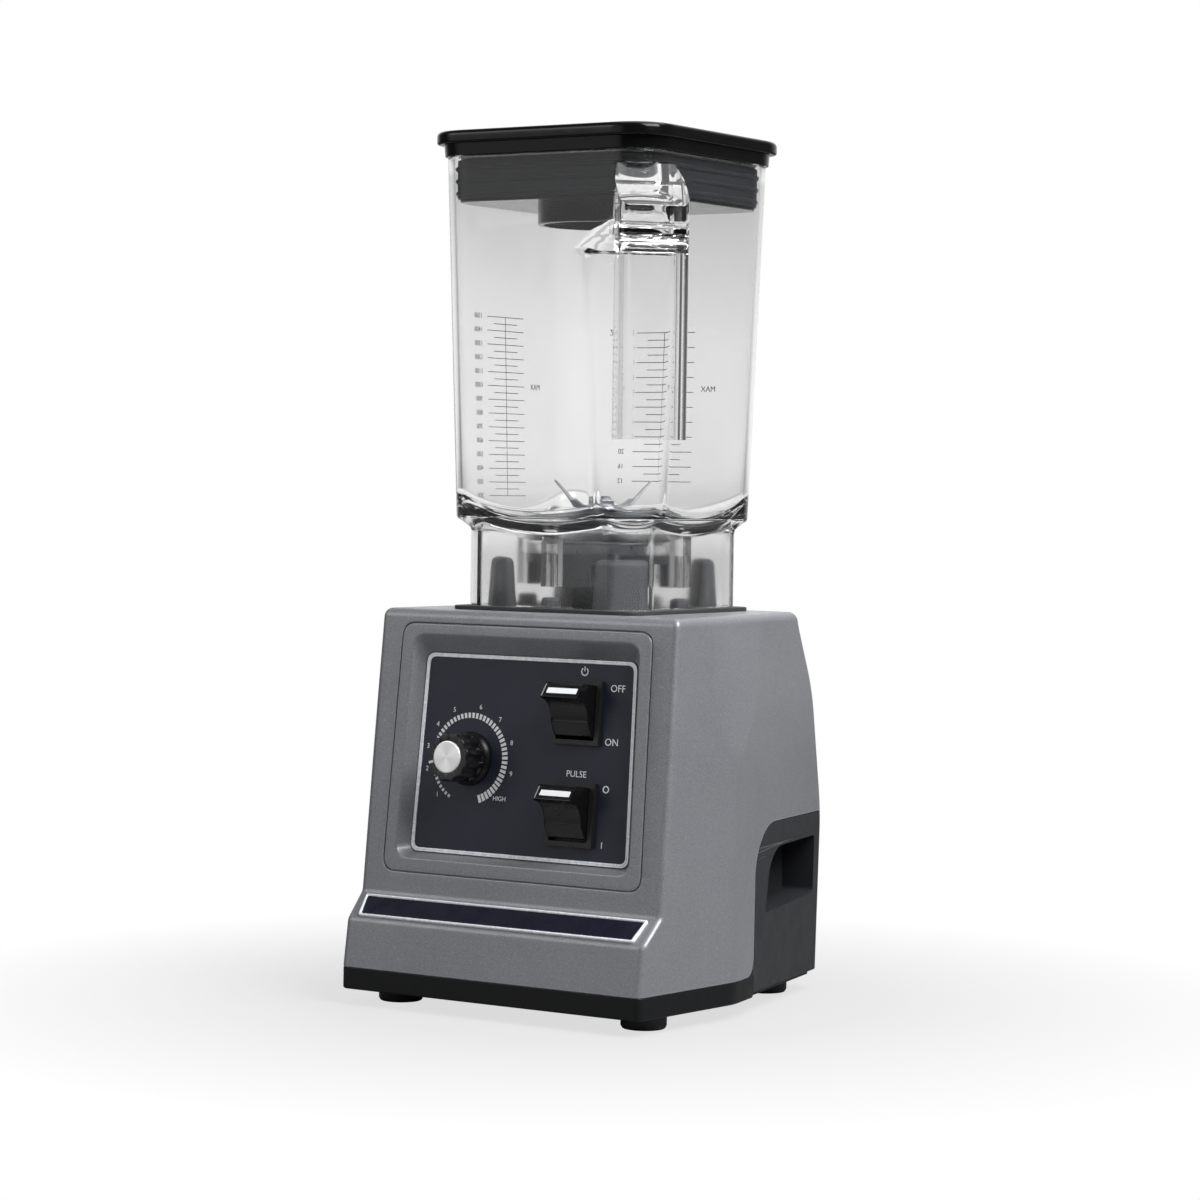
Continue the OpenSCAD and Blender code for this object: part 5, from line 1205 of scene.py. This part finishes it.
class JUG_OT_jar(DressStep):
    """The clear jar: one closed surface of directions and rows, with its handle and the tubes
    under it joined on"""

    bl_idname, bl_label = "jug.jar", "Clear jar"

    def rows(self, angle):
        """Rings of the body, from the hub's seat out over the bowl, up the inside, over the
        rim, down the outside, round the skirt's foot and back under the bowl."""
        rings = []

        def ring(reach, z):
            """One more ring, at a reach and a height in each direction."""
            rings.append(turned(angle, reach, z))

        def wall(z, inset=0.0):
            """One more ring on the wall."""
            ring(wall_reach(angle, z, inset), z)

        self.inner_rings(angle, ring, wall)
        for inset, z in ((3.2, 490.5), (2.7, 490.9), (2.2, JAR_RIM), (1.3, JAR_RIM),
                         (0.7, 490.85), (0.25, 490.5), (0.0, 489.9)):
            wall(z, inset)
        for z in (480, 465, 453, 450, 447, 444, 441, 438, 435, 434, 433.4, 432.8, 432, 430, 420,
                  380, 340, 310, 290, 284.2, 283.4):
            wall(z)
        wall(JAR_FOOT, 0.4)
        self.skirt_rings(angle, ring)
        return np.stack(rings)

    @staticmethod
    def bowl(reach, radius=BOWL):
        """Height of a sphere's lower side at a reach. Its middle is BOWL over the floor."""
        return FLOOR_Z + BOWL - np.sqrt(radius ** 2 - reach ** 2)

    def inner_rings(self, angle, ring, wall):
        """The hub's hole, the bowl, the rounded line where it meets the wall, and the wall's
        inside. The line's place is found by putting the wall's reach into the bowl's height and
        that height into the wall's reach, six times over. It is rounded like soft_outline's
        corners, over BOWL_EDGE either way."""
        foot = 285.0
        for _ in range(6):
            reach = wall_reach(angle, foot, JAR_WALL)
            foot = self.bowl(reach)
        ring(HUB_HOLE, NUT_TOP)
        ring(HUB_HOLE, FLOOR_Z)
        ring(HUB_SEAT, FLOOR_Z)
        ring(HUB_SEAT, self.bowl(HUB_SEAT))
        slope = np.arcsin(reach / BOWL)
        for share in np.linspace(0, 1, 12)[1:]:
            low_r = HUB_SEAT + (reach - BOWL_EDGE * np.cos(slope) - HUB_SEAT) * share
            low_z = self.bowl(low_r)
            ring(low_r, low_z)
        top_z = foot + BOWL_EDGE
        top_r = wall_reach(angle, top_z, JAR_WALL)
        for s in np.linspace(0, 1, 8)[1:-1]:
            lift = 2 * s * (1 - s)
            ring((1 - s) * low_r + s * top_r + lift * (reach - (low_r + top_r) / 2),
                 (1 - s) * low_z + s * top_z + lift * (foot - (low_z + top_z) / 2))
        for share in np.linspace(0, 1, 9):
            wall(top_z * (1 - share) + 432 * share, JAR_WALL)
        for z in (434, 435.5, 436.5, 437, 437.5, 439, 441, 443, 446, 449, 452, 456, 465, 480,
                  489.8):
            wall(z, JAR_WALL)

    def skirt_rings(self, angle, ring):
        """The step in from the wall's foot, the skirt's two sides and the bowl's underside."""
        step, flat = 282.5, 0.12
        lip = wall_reach(angle, JAR_FOOT, 0.6, False)
        skirt = square_reach(angle, 63.0, 18.0, flat)
        inner = square_reach(angle, 59.8, 16.1, flat)
        ring(lip, JAR_FOOT)
        ring(wall_reach(angle, step, 0.25, False), step)
        for s in (0.25, 0.5, 0.75, 0.9):
            ring((1 - s) * lip + s * skirt, step - 6.5 * s)
        for z in (274.6, 262, 247, 232.4):
            ring(skirt, z)
        ring(skirt - 0.5, 231.7)
        ring(skirt - 0.9, SEAT)
        ring(inner + 0.6, SEAT)
        ring(inner, 232.2)
        under = self.bowl(inner, BOWL + BOWL_WALL)
        for share in (0.33, 0.66, 0.95):
            ring(inner, 232.2 * (1 - share) + under * share)
        for share in (0, 0.25, 0.5, 0.75, 1):
            reach = (inner - 1.5) * (1 - share) + NUT_RADIUS * share
            ring(reach, self.bowl(reach, BOWL + BOWL_WALL))
        ring(NUT_RADIUS, NUT_TOP)

    @staticmethod
    def handle(edge):
        """The handle: its side view carried across, trimmed by its plan and hollowed from the
        jar's side, with its edges rounded, then turned into the jar's corner."""
        outer, inner, half = 130.0, 113.0, 20
        under = arc((96, 426), 17, 90, 8, 10)
        top = arc((127.4, 455.5), 2.6, 0, 44, 5)
        side = np.concatenate([[(80, 443), (92, 443)], under, [(inner, 418), (inner, 328)],
                               [(outer, 328)], top, [(102, 482), (80, 486)]])
        solid = prism("handle", side, -half, half, upright)
        plan = soft_outline([(60, -15), (98, -15), (inner, -half), (outer, -half), (outer, half),
                             (inner, half), (98, 15), (60, 15)],
                            np.array([1, 4, 4, 6.5, 6.5, 4, 4, 1]), 10)
        carve(solid, prism("plan", plan, 300, 500), how="INTERSECT")
        hollow = soft_outline([(inner - 3, -17.2), (127, -17.2), (127, 17.2), (inner - 3, 17.2)],
                              np.array([1, 7, 7, 1]), 8)
        slot = soft_outline([(99, 445), (108, 445), (108, 468), (99, 468)], 4.4, 8)
        carve(solid, prism("hollow", hollow, 327, 431), prism("slot", slot, -50, 50, upright))
        eased_edges(solid, edge, 3, 30)
        solid.data.transform(Matrix.Rotation(HANDLE_CORNER, 4, "Z"))
        return solid

    def build(self, scene):
        """The directions stand closer together near the recess's two upright creases."""
        creases = np.radians(np.concatenate([np.arange(-68, -56, 0.15),
                                             np.arange(-34, -22, 0.15)]))
        angle = np.unique(np.concatenate([
            circle(scene.jug_sizes.columns), creases + 2 * math.pi]).round(6))
        body = grid("jar", self.rows(angle), looped=True)
        heights = np.array([300.0, 432, 437, 442, 448, 480, 500])[:, None]
        middle = wall_reach(angle[None], heights, 1.7)
        inside = grid("inside", turned(angle[None], middle, heights))
        handle = carve(self.handle(scene.jug_sizes.handle_edge / MM), inside)
        carve(body, handle, how="UNION")
        tubes = []
        for k in range(4):
            tube = box("tube", (47.5, -4.5, 243.6), (56.5, 4.5, 277.5))
            bore = grid("bore", revolved([(2.4, 240), (2.4, 262)], 32, (PEG_RING, 0)))
            tube = carve(tube, bore)
            tube.data.transform(Matrix.Rotation(math.radians(90 * k), 4, "Z"))
            tubes.append(tube)
        carve(body, *tubes, how="UNION")
        finish_piece(body, "clear_jar_body", Finishes["clear_jar"], "jar",
                     ["jar_body"], 34)


class JUG_OT_graduations(DressStep):
    """The scales printed on the left and rear walls: lines, numbers and words"""

    bl_idname, bl_label = "jug.graduations", "Graduations"

    @staticmethod
    def on_wall(side):
        """Drawing plane (along the wall, height, out) of the left or the rear wall."""
        lean = JAR_FLARE / (JAR_RIM - JAR_FOOT)

        def place(points):
            """The wall stands at the foot's half width plus the lean times the height over it."""
            u, z, w = np.moveaxis(np.asarray(points, float), -1, 0)
            out = JAR_FOOT_HALF + lean * (z - JAR_FOOT) + w
            return np.stack([-out, u, z] if side == "left" else [u, out, z], -1)

        return place

    @staticmethod
    def strip(low, high):
        """Corners of an upright rectangle between two points."""
        return [low, (high[0], low[1]), high, (low[0], high[1])]

    def build(self, scene):
        """Each scale gives its wall, the middle of its lines, the column of its numbers, its
        lowest and highest line, how many lines, half their length, long and short, and the
        first number with the step from line to line. Long lines are numbered."""
        thick = scene.jug_sizes.print_height / MM
        line, stem, proud = 0.45, 0.2, 0.02
        for side, centre, column, low, high, count, reaches, first, step in (
                ("left", -3.0, -31.0, 295.0, 401.3, 27, (18.7, 12.2), 200, 50),
                ("rear", -3.0, -31.5, 304.8, 394.7, 21, (20.0, 12.0), 12, 2)):
            place = self.on_wall(side)
            marks, words = [], []
            for k, z in enumerate(np.linspace(low, high, count)):
                reach = reaches[k % 2]
                marks.append(self.strip((centre - reach, z - line / 2),
                                        (centre + reach, z + line / 2)))
                if k % 2 == 0 and (side == "left" or z < high - 6):
                    words.append(lettering(str(first + step * k), 4.3, column, z, thick, True))
            marks.append(self.strip((centre - stem, low), (centre + stem, high)))
            words.append(lettering("MAX", 4.8, 27.5, 360.5, thick, True))
            if side == "rear":
                words.append(lettering("OZ", 5.0, -38.5, 395, thick, True))
            scale = bars("scale", np.array(marks), proud, thick + proud, place)
            finish_piece(scale, side + "_scale", Finishes["print_grey"], "jar")
            names = joined("names", words, place)
            finish_piece(names, side + "_numbers", Finishes["print_grey"], "jar")


class JUG_OT_blades(DressStep):
    """The blade unit: retainer, hub, socket, nut and wings, and the coupling under it"""

    bl_idname, bl_label = "jug.blades", "Blade unit"

    def build(self, scene):
        fine_pieces([("retainer_nut", 0.8, "retainer_black", "retainer_black", "jar"),
                     ("blade_hub", 0.5, "hub_metal", "hub_metal", "jar"),
                     ("drive_socket", 0.5, "retainer_black", "core_steel", "blades"),
                     ("blade_nut", 0.35, "steel", "steel", "blades"),
                     ("upper_blades", 0.12, "steel", "steel", "blades"),
                     ("lower_blades", 0.12, "steel", "steel", "blades"),
                     ("drive_coupler", 0.5, "steel", "core_steel", "rotor")])


class JUG_OT_lid(DressStep):
    """The lid with its rolled flange, the ribbed seal under it and the filler cap"""

    bl_idname, bl_label = "jug.lid", "Lid"

    @staticmethod
    def flange():
        """Stations of the flange, whose edge is two quarter circles, a small one under it and a
        larger one over it: both width and setback shrink by r (1 - sin a) or r (1 - cos a)."""
        small, large = 1.3, 3.0
        a = np.radians(np.linspace(0, 90, 7))
        under, over = small * (1 - np.sin(a)), large * (1 - np.cos(a))
        edge = np.stack([LID_HALF - under, LID_SETBACK - under,
                         LID_LOW + small - small * np.cos(a)], -1)
        roll = np.stack([LID_HALF - over, LID_SETBACK - over,
                         LID_TOP - large + large * np.sin(a)], -1)
        return np.concatenate([[(74.9, 26, LID_LOW)], edge, roll, [(74, 24, LID_TOP)]])

    @staticmethod
    def seal():
        """Stations of the seal: three thin ribs on a plain sleeve. Each stops just short of the
        inside of the jar's wall at its height."""
        inside, sleeve = 66.35, 67.9
        stations = [(inside, 467.0), (67.4, 467.0), (sleeve, 467.5), (sleeve, 468.6)]
        for z in (469.0, 476.0, 483.0):
            reach = jar_half(z - 2) - 3.9
            stations += [(reach - 0.4, z), (reach, z + 0.5), (reach, z + 1.4),
                         (reach - 0.4, z + 2.0), (sleeve, z + 2.4)]
            if z < 483:
                stations.append((sleeve, z + 6.4))
        stations += [(sleeve, 488.4), (67.5, 489.0), (inside, 489.0)]
        return [(reach, reach - 47.3, z) for reach, z in stations]

    def build(self, scene):
        """The flange, the band under it, the plug and the neck are joined, and the well and the
        bore are cut out of them. The cap is turned, with a grip bar joined on."""
        flange = grid("flange", square_rings(self.flange(), 384))
        band = grid("band", square_rings([(74.4, 26, 491.3), (74.7, 26, 491.6),
                                          (75.2, 26, 499.5)], 384))
        plug = grid("plug", square_rings([(65.9, 18.6, 465.0), (66.3, 19, 465.4),
                                          (66.3, 19, 498.5)], 384))
        neck = grid("neck", revolved([(39.4, 454), (40, 454.6), (40, 484)], 128))
        carve(flange, band, plug, neck, how="UNION")
        well = grid("well", square_rings([(62.3, 15, 468.0), (63.3, 16, 468.8),
                                          (65.0, 18, 505.2), (66.2, 19, 506.7)], 384))
        carve(well, grid("core", revolved([(40, 450), (40, 491.3), (39.3, 492)], 128)))
        carve(flange, well, grid("bore", revolved([(36.4, 452), (36.4, 491.2), (37.1, 492.2),
                                                   (37.1, 560)], 128)))
        finish_piece(flange, "lid_shell", Finishes["lid_black"], "lid", ["lid"])
        seal = grid("seal", square_rings(self.seal(), 384), looped=True)
        finish_piece(seal, "plug_seal", Finishes["lid_seal_rubber"], "lid",
                     ["lid_seal"])
        cap = grid("cap", revolved([
            (0, 486.0), (33.5, 486.0), (33.5, 456.4), (33.9, 456.0), (35.6, 456.0), (36.1, 456.5),
            (36.1, 492.3), (41.1, 492.3), (41.5, 492.7), (41.5, 495.6), (41.2, 496.4),
            (40.4, 496.95), (39.6, 497.1), (0, 497.1)], 160))
        half = soft_outline([(-34, -4.5), (34, -4.5), (34, 4.5), (-34, 4.5)], 4.4, 8)
        grip = grid("grip", np.concatenate([
            raised(np.stack([half]), 490.0), raised(np.stack([half]), 502.2),
            raised(np.stack([half * [0.99, 0.93]]), 503.0),
            raised(np.stack([half * [0.97, 0.8]]), 503.5)]))
        carve(cap, grip, how="UNION")
        finish_piece(cap, "filler_cap", Finishes["lid_black"], "lid_cap",
                     ["lid_cap"])


class JUG_OT_rear_fittings(DressStep):
    """The cord gland, the overload button and the screws"""

    bl_idname, bl_label = "jug.rear_fittings", "Rear fittings"

    def build(self, scene):
        fine_pieces([("cord_gland", 0.4, "soft_rubber", "black_plastic", "base"),
                     ("reset_breaker", 0.3, "retainer_black", "black_plastic", "base"),
                     ("reset_button", 0.4, "signal_red", "signal_red", "reset_button"),
                     ("cover_screws", 0.2, "steel", "steel", "base"),
                     ("base_screws", 0.2, "steel", "steel", "base"),
                     ("foot_screws", 0.2, "steel", "steel", "base")])


class JUG_OT_inside(DressStep):
    """Finishes for the nodes shown as they are: the panel, motor, fan, board, bearings and seals"""

    bl_idname, bl_label = "jug.inside", "Inside pieces"

    def build(self, scene):
        dress(["control_panel"], Finishes["panel_film"])
        dress(["upper_bracket", "lower_bracket"], Finishes["hub_metal"])
        dress(["stator_core", "armature_core"], Finishes["core_steel"])
        dress(["field_coils", "armature_windings", "commutator"], Finishes["copper_wire"])
        dress(["brush_holders"], Finishes["brush_brass"])
        dress(["carbon_brushes"], Finishes["carbon"])
        dress(["speed_board"], Finishes["board_green"])
        dress(["fan_duct", "cooling_fan", "potentiometer"], Finishes["black_plastic"])
        dress(["motor_bolts", "bracket_screws", "upper_bearing", "lower_bearing", "motor_shaft",
               "knob_shaft", "blade_shaft", "jar_bearings"], Finishes["steel"])
        dress(["hub_gasket", "shaft_seal"], Finishes["soft_rubber"])


class JUG_OT_stage(DressStep):
    """The floor, the soft lights, the room and the camera"""

    bl_idname, bl_label = "jug.stage", "Stage"

    def build(self, scene):
        """Each lamp gives its power, its width and height, where it stands and where it aims."""
        settings = scene.jug_stage
        self.floor()
        self.room(scene, settings.room)
        for name, power, size, at, aim in (
                ("key_light", settings.key, (0.8, 0.8), (0.82, -0.16, 1.05), (0, 0, 0.2)),
                ("fill_light", settings.fill, (0.9, 0.7), (-1.0, -1.1, 1.05), (0, 0, 0.2)),
                ("top_light", settings.top, (1.2, 1.2), (0.1, 0.3, 1.6), (0, 0, 0.3))):
            self.lamp(name, power, size, at, aim)
        self.camera(scene)
        scene.view_settings.view_transform = "Standard"

    @staticmethod
    def floor():
        """A wide round floor of pale paint. The camera and the view through the jar also see it
        glow, more strongly away from the middle, until it is plain white and only the shadow
        near the object shows. Light that has met a matt surface doesn't see the glow."""
        floor = grid("floor", revolved([(0, -2.0), (5200, -2.0), (5200, -0.05), (0, -0.05)], 96))
        made = Surface("floor_paint", (0.27, 0.27, 0.27), 0.8, 0.0, 0.1)
        made.tone(400, 0.02)
        path = made.node("ShaderNodeLightPath").outputs
        far = made.node("ShaderNodeVectorMath", operation="LENGTH")
        made.link(made.place, far.inputs[0])
        white = made.ranged(far.outputs["Value"], 0.16, 0.42, 0.70, 1.0)
        seen = made.maths("MAXIMUM", path["Is Camera Ray"], path["Is Transmission Ray"])
        seen = made.maths("SUBTRACT", seen, path["Diffuse Depth"], use_clamp=True)
        glow = made.node("ShaderNodeEmission")
        made.show(made.mixed(made.maths("MULTIPLY", seen, white), made.shader.outputs[0],
                             glow.outputs[0]))
        floor.data.materials.append(made.material)

    @staticmethod
    def room(scene, strength):
        """What each kind of ray sees past the floor. The camera sees white. Reflections see a
        bright backdrop behind the object, a dim room in front and one soft window. The view
        through the jar is white straight behind, and dimmer toward the sides and the front,
        above and below. Light on matt surfaces, and all that follows it, is one even level."""
        world = bpy.data.worlds.new("room")
        scene.world = world
        world.use_nodes = True
        made = Nodes(world.node_tree)
        made.tree.nodes.clear()
        path = made.node("ShaderNodeLightPath").outputs
        way = made.node("ShaderNodeTexCoord").outputs["Generated"]

        def toward(*direction):
            """How far a ray points in a direction: 1 along it, 0 across it, -1 against it."""
            dot = made.node("ShaderNodeVectorMath", operation="DOT_PRODUCT")
            dot.inputs[1].default_value = direction
            made.link(way, dot.inputs[0])
            return dot.outputs["Value"]

        def eased(value, low, high, first, last):
            """Goes smoothly from first, where value is low, to last, where it is high."""
            return made.ranged(value, low, high, first, last, "SMOOTHSTEP")

        def white(level):
            """White light of a level."""
            shown = made.node("ShaderNodeBackground")
            shown.inputs["Color"].default_value = (1, 1, 1, 1)
            made.feed(level, shown.inputs["Strength"])
            return shown.outputs[0]

        around = math.radians(CAMERA_AROUND)
        front = toward(math.sin(around), -math.cos(around), 0)
        across = made.maths("ABSOLUTE", toward(math.cos(around), math.sin(around), 0))
        height = toward(0, 0, 1)
        backdrop = eased(front, -0.92, -0.5, 1.0, 0.12)
        window_at = (-0.547, -0.830, 0.14)
        window = eased(toward(*window_at), 0.86, 0.98, 0.0, 0.85)
        through = eased(across, 0.40, 0.90, 1.0, 0.55)
        for level in (eased(front, -0.8, -0.35, 1.0, 0.25), eased(height, 0.03, 0.10, 1.0, 0.62),
                      eased(height, -0.03, 0.01, 0.6, 1.0)):
            through = made.maths("MULTIPLY", through, level)
        seen = white(strength)
        for ray, level in (("Is Glossy Ray", made.maths("MAXIMUM", backdrop, window)),
                           ("Is Transmission Ray", through), ("Is Camera Ray", 1.0),
                           ("Diffuse Depth", strength)):
            seen = made.mixed(path[ray], seen, white(level))
        made.link(seen, made.node("ShaderNodeOutputWorld").inputs["Surface"])

    @staticmethod
    def stand(thing, right, up, back, at):
        """Puts a lamp or a camera at a point, with its own axes along right, up and back."""
        bpy.context.scene.collection.objects.link(thing)
        axes = np.stack([right, up, back, at], 1)
        thing.matrix_world = Matrix(np.vstack([axes, [0, 0, 0, 1]]).tolist())

    def lamp(self, name, power, size, at, aim):
        """A soft rectangular lamp that faces its aim, with two sides level."""
        light = bpy.data.lights.new(name, "AREA")
        light.shape, light.energy = "RECTANGLE", power
        light.size, light.size_y = size
        back = np.array(at, float) - np.array(aim, float)
        back /= np.linalg.norm(back)
        right = np.cross([0, 0, 1], back)
        right /= np.linalg.norm(right)
        thing = bpy.data.objects.new(name, light)
        self.stand(thing, right, np.cross(back, right), back, at)

    def camera(self, scene):
        """The camera looks from the front right, a little above level, with a slight roll."""
        around, above, roll = map(math.radians, (CAMERA_AROUND, CAMERA_ABOVE, CAMERA_ROLL))
        back = np.array([math.sin(around) * math.cos(above),
                         -math.cos(around) * math.cos(above), math.sin(above)])
        right = np.array([math.cos(around), math.sin(around), 0])
        up = np.cross(back, right)
        at = back * CAMERA_AWAY + right * CAMERA_ASIDE + np.array([0, 0, CAMERA_HEIGHT])
        camera = bpy.data.cameras.new("camera")
        camera.sensor_width, camera.lens = SENSOR, LENS
        camera.clip_start, camera.clip_end = 0.05, 50
        thing = bpy.data.objects.new("camera", camera)
        self.stand(thing, math.cos(roll) * right + math.sin(roll) * up,
                   -math.sin(roll) * right + math.cos(roll) * up, back, at)
        scene.camera = thing


STEPS = (JUG_OT_housing, JUG_OT_rear_cover, JUG_OT_foot_band, JUG_OT_bezel, JUG_OT_name_plate,
         JUG_OT_dial, JUG_OT_switches, JUG_OT_jar_seat, JUG_OT_blades, JUG_OT_jar,
         JUG_OT_graduations, JUG_OT_lid, JUG_OT_rear_fittings, JUG_OT_inside, JUG_OT_stage)


class JUG_PT_panel(bpy.types.Panel):
    """Lists the sizes, the colours and the steps"""

    bl_idname, bl_label = "JUG_PT_panel", "Countertop blender"
    bl_space_type, bl_region_type, bl_category = "VIEW_3D", "UI", "Blender jug"

    def draw(self, context):
        for group in (context.scene.jug_sizes, context.scene.jug_colours,
                      context.scene.jug_stage):
            area = self.layout.box()
            for name in group.__annotations__:
                area.prop(group, name)
        for step in STEPS:
            self.layout.operator(step.bl_idname)


GROUPS = {"jug_colours": JugColours, "jug_sizes": JugSizes, "jug_stage": JugStage}


def register():
    for kind in (*GROUPS.values(), *STEPS, JUG_PT_panel):
        bpy.utils.register_class(kind)
    for name, kind in GROUPS.items():
        setattr(bpy.types.Scene, name, PointerProperty(type=kind))


def unregister():
    for name in GROUPS:
        delattr(bpy.types.Scene, name)
    for kind in reversed((*GROUPS.values(), *STEPS, JUG_PT_panel)):
        bpy.utils.unregister_class(kind)


def main():
    """Runs every step in order."""
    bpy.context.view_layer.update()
    register()
    for step in STEPS:
        group, name = step.bl_idname.split(".")
        getattr(getattr(bpy.ops, group), name)()


if __name__ == "__main__":
    main()
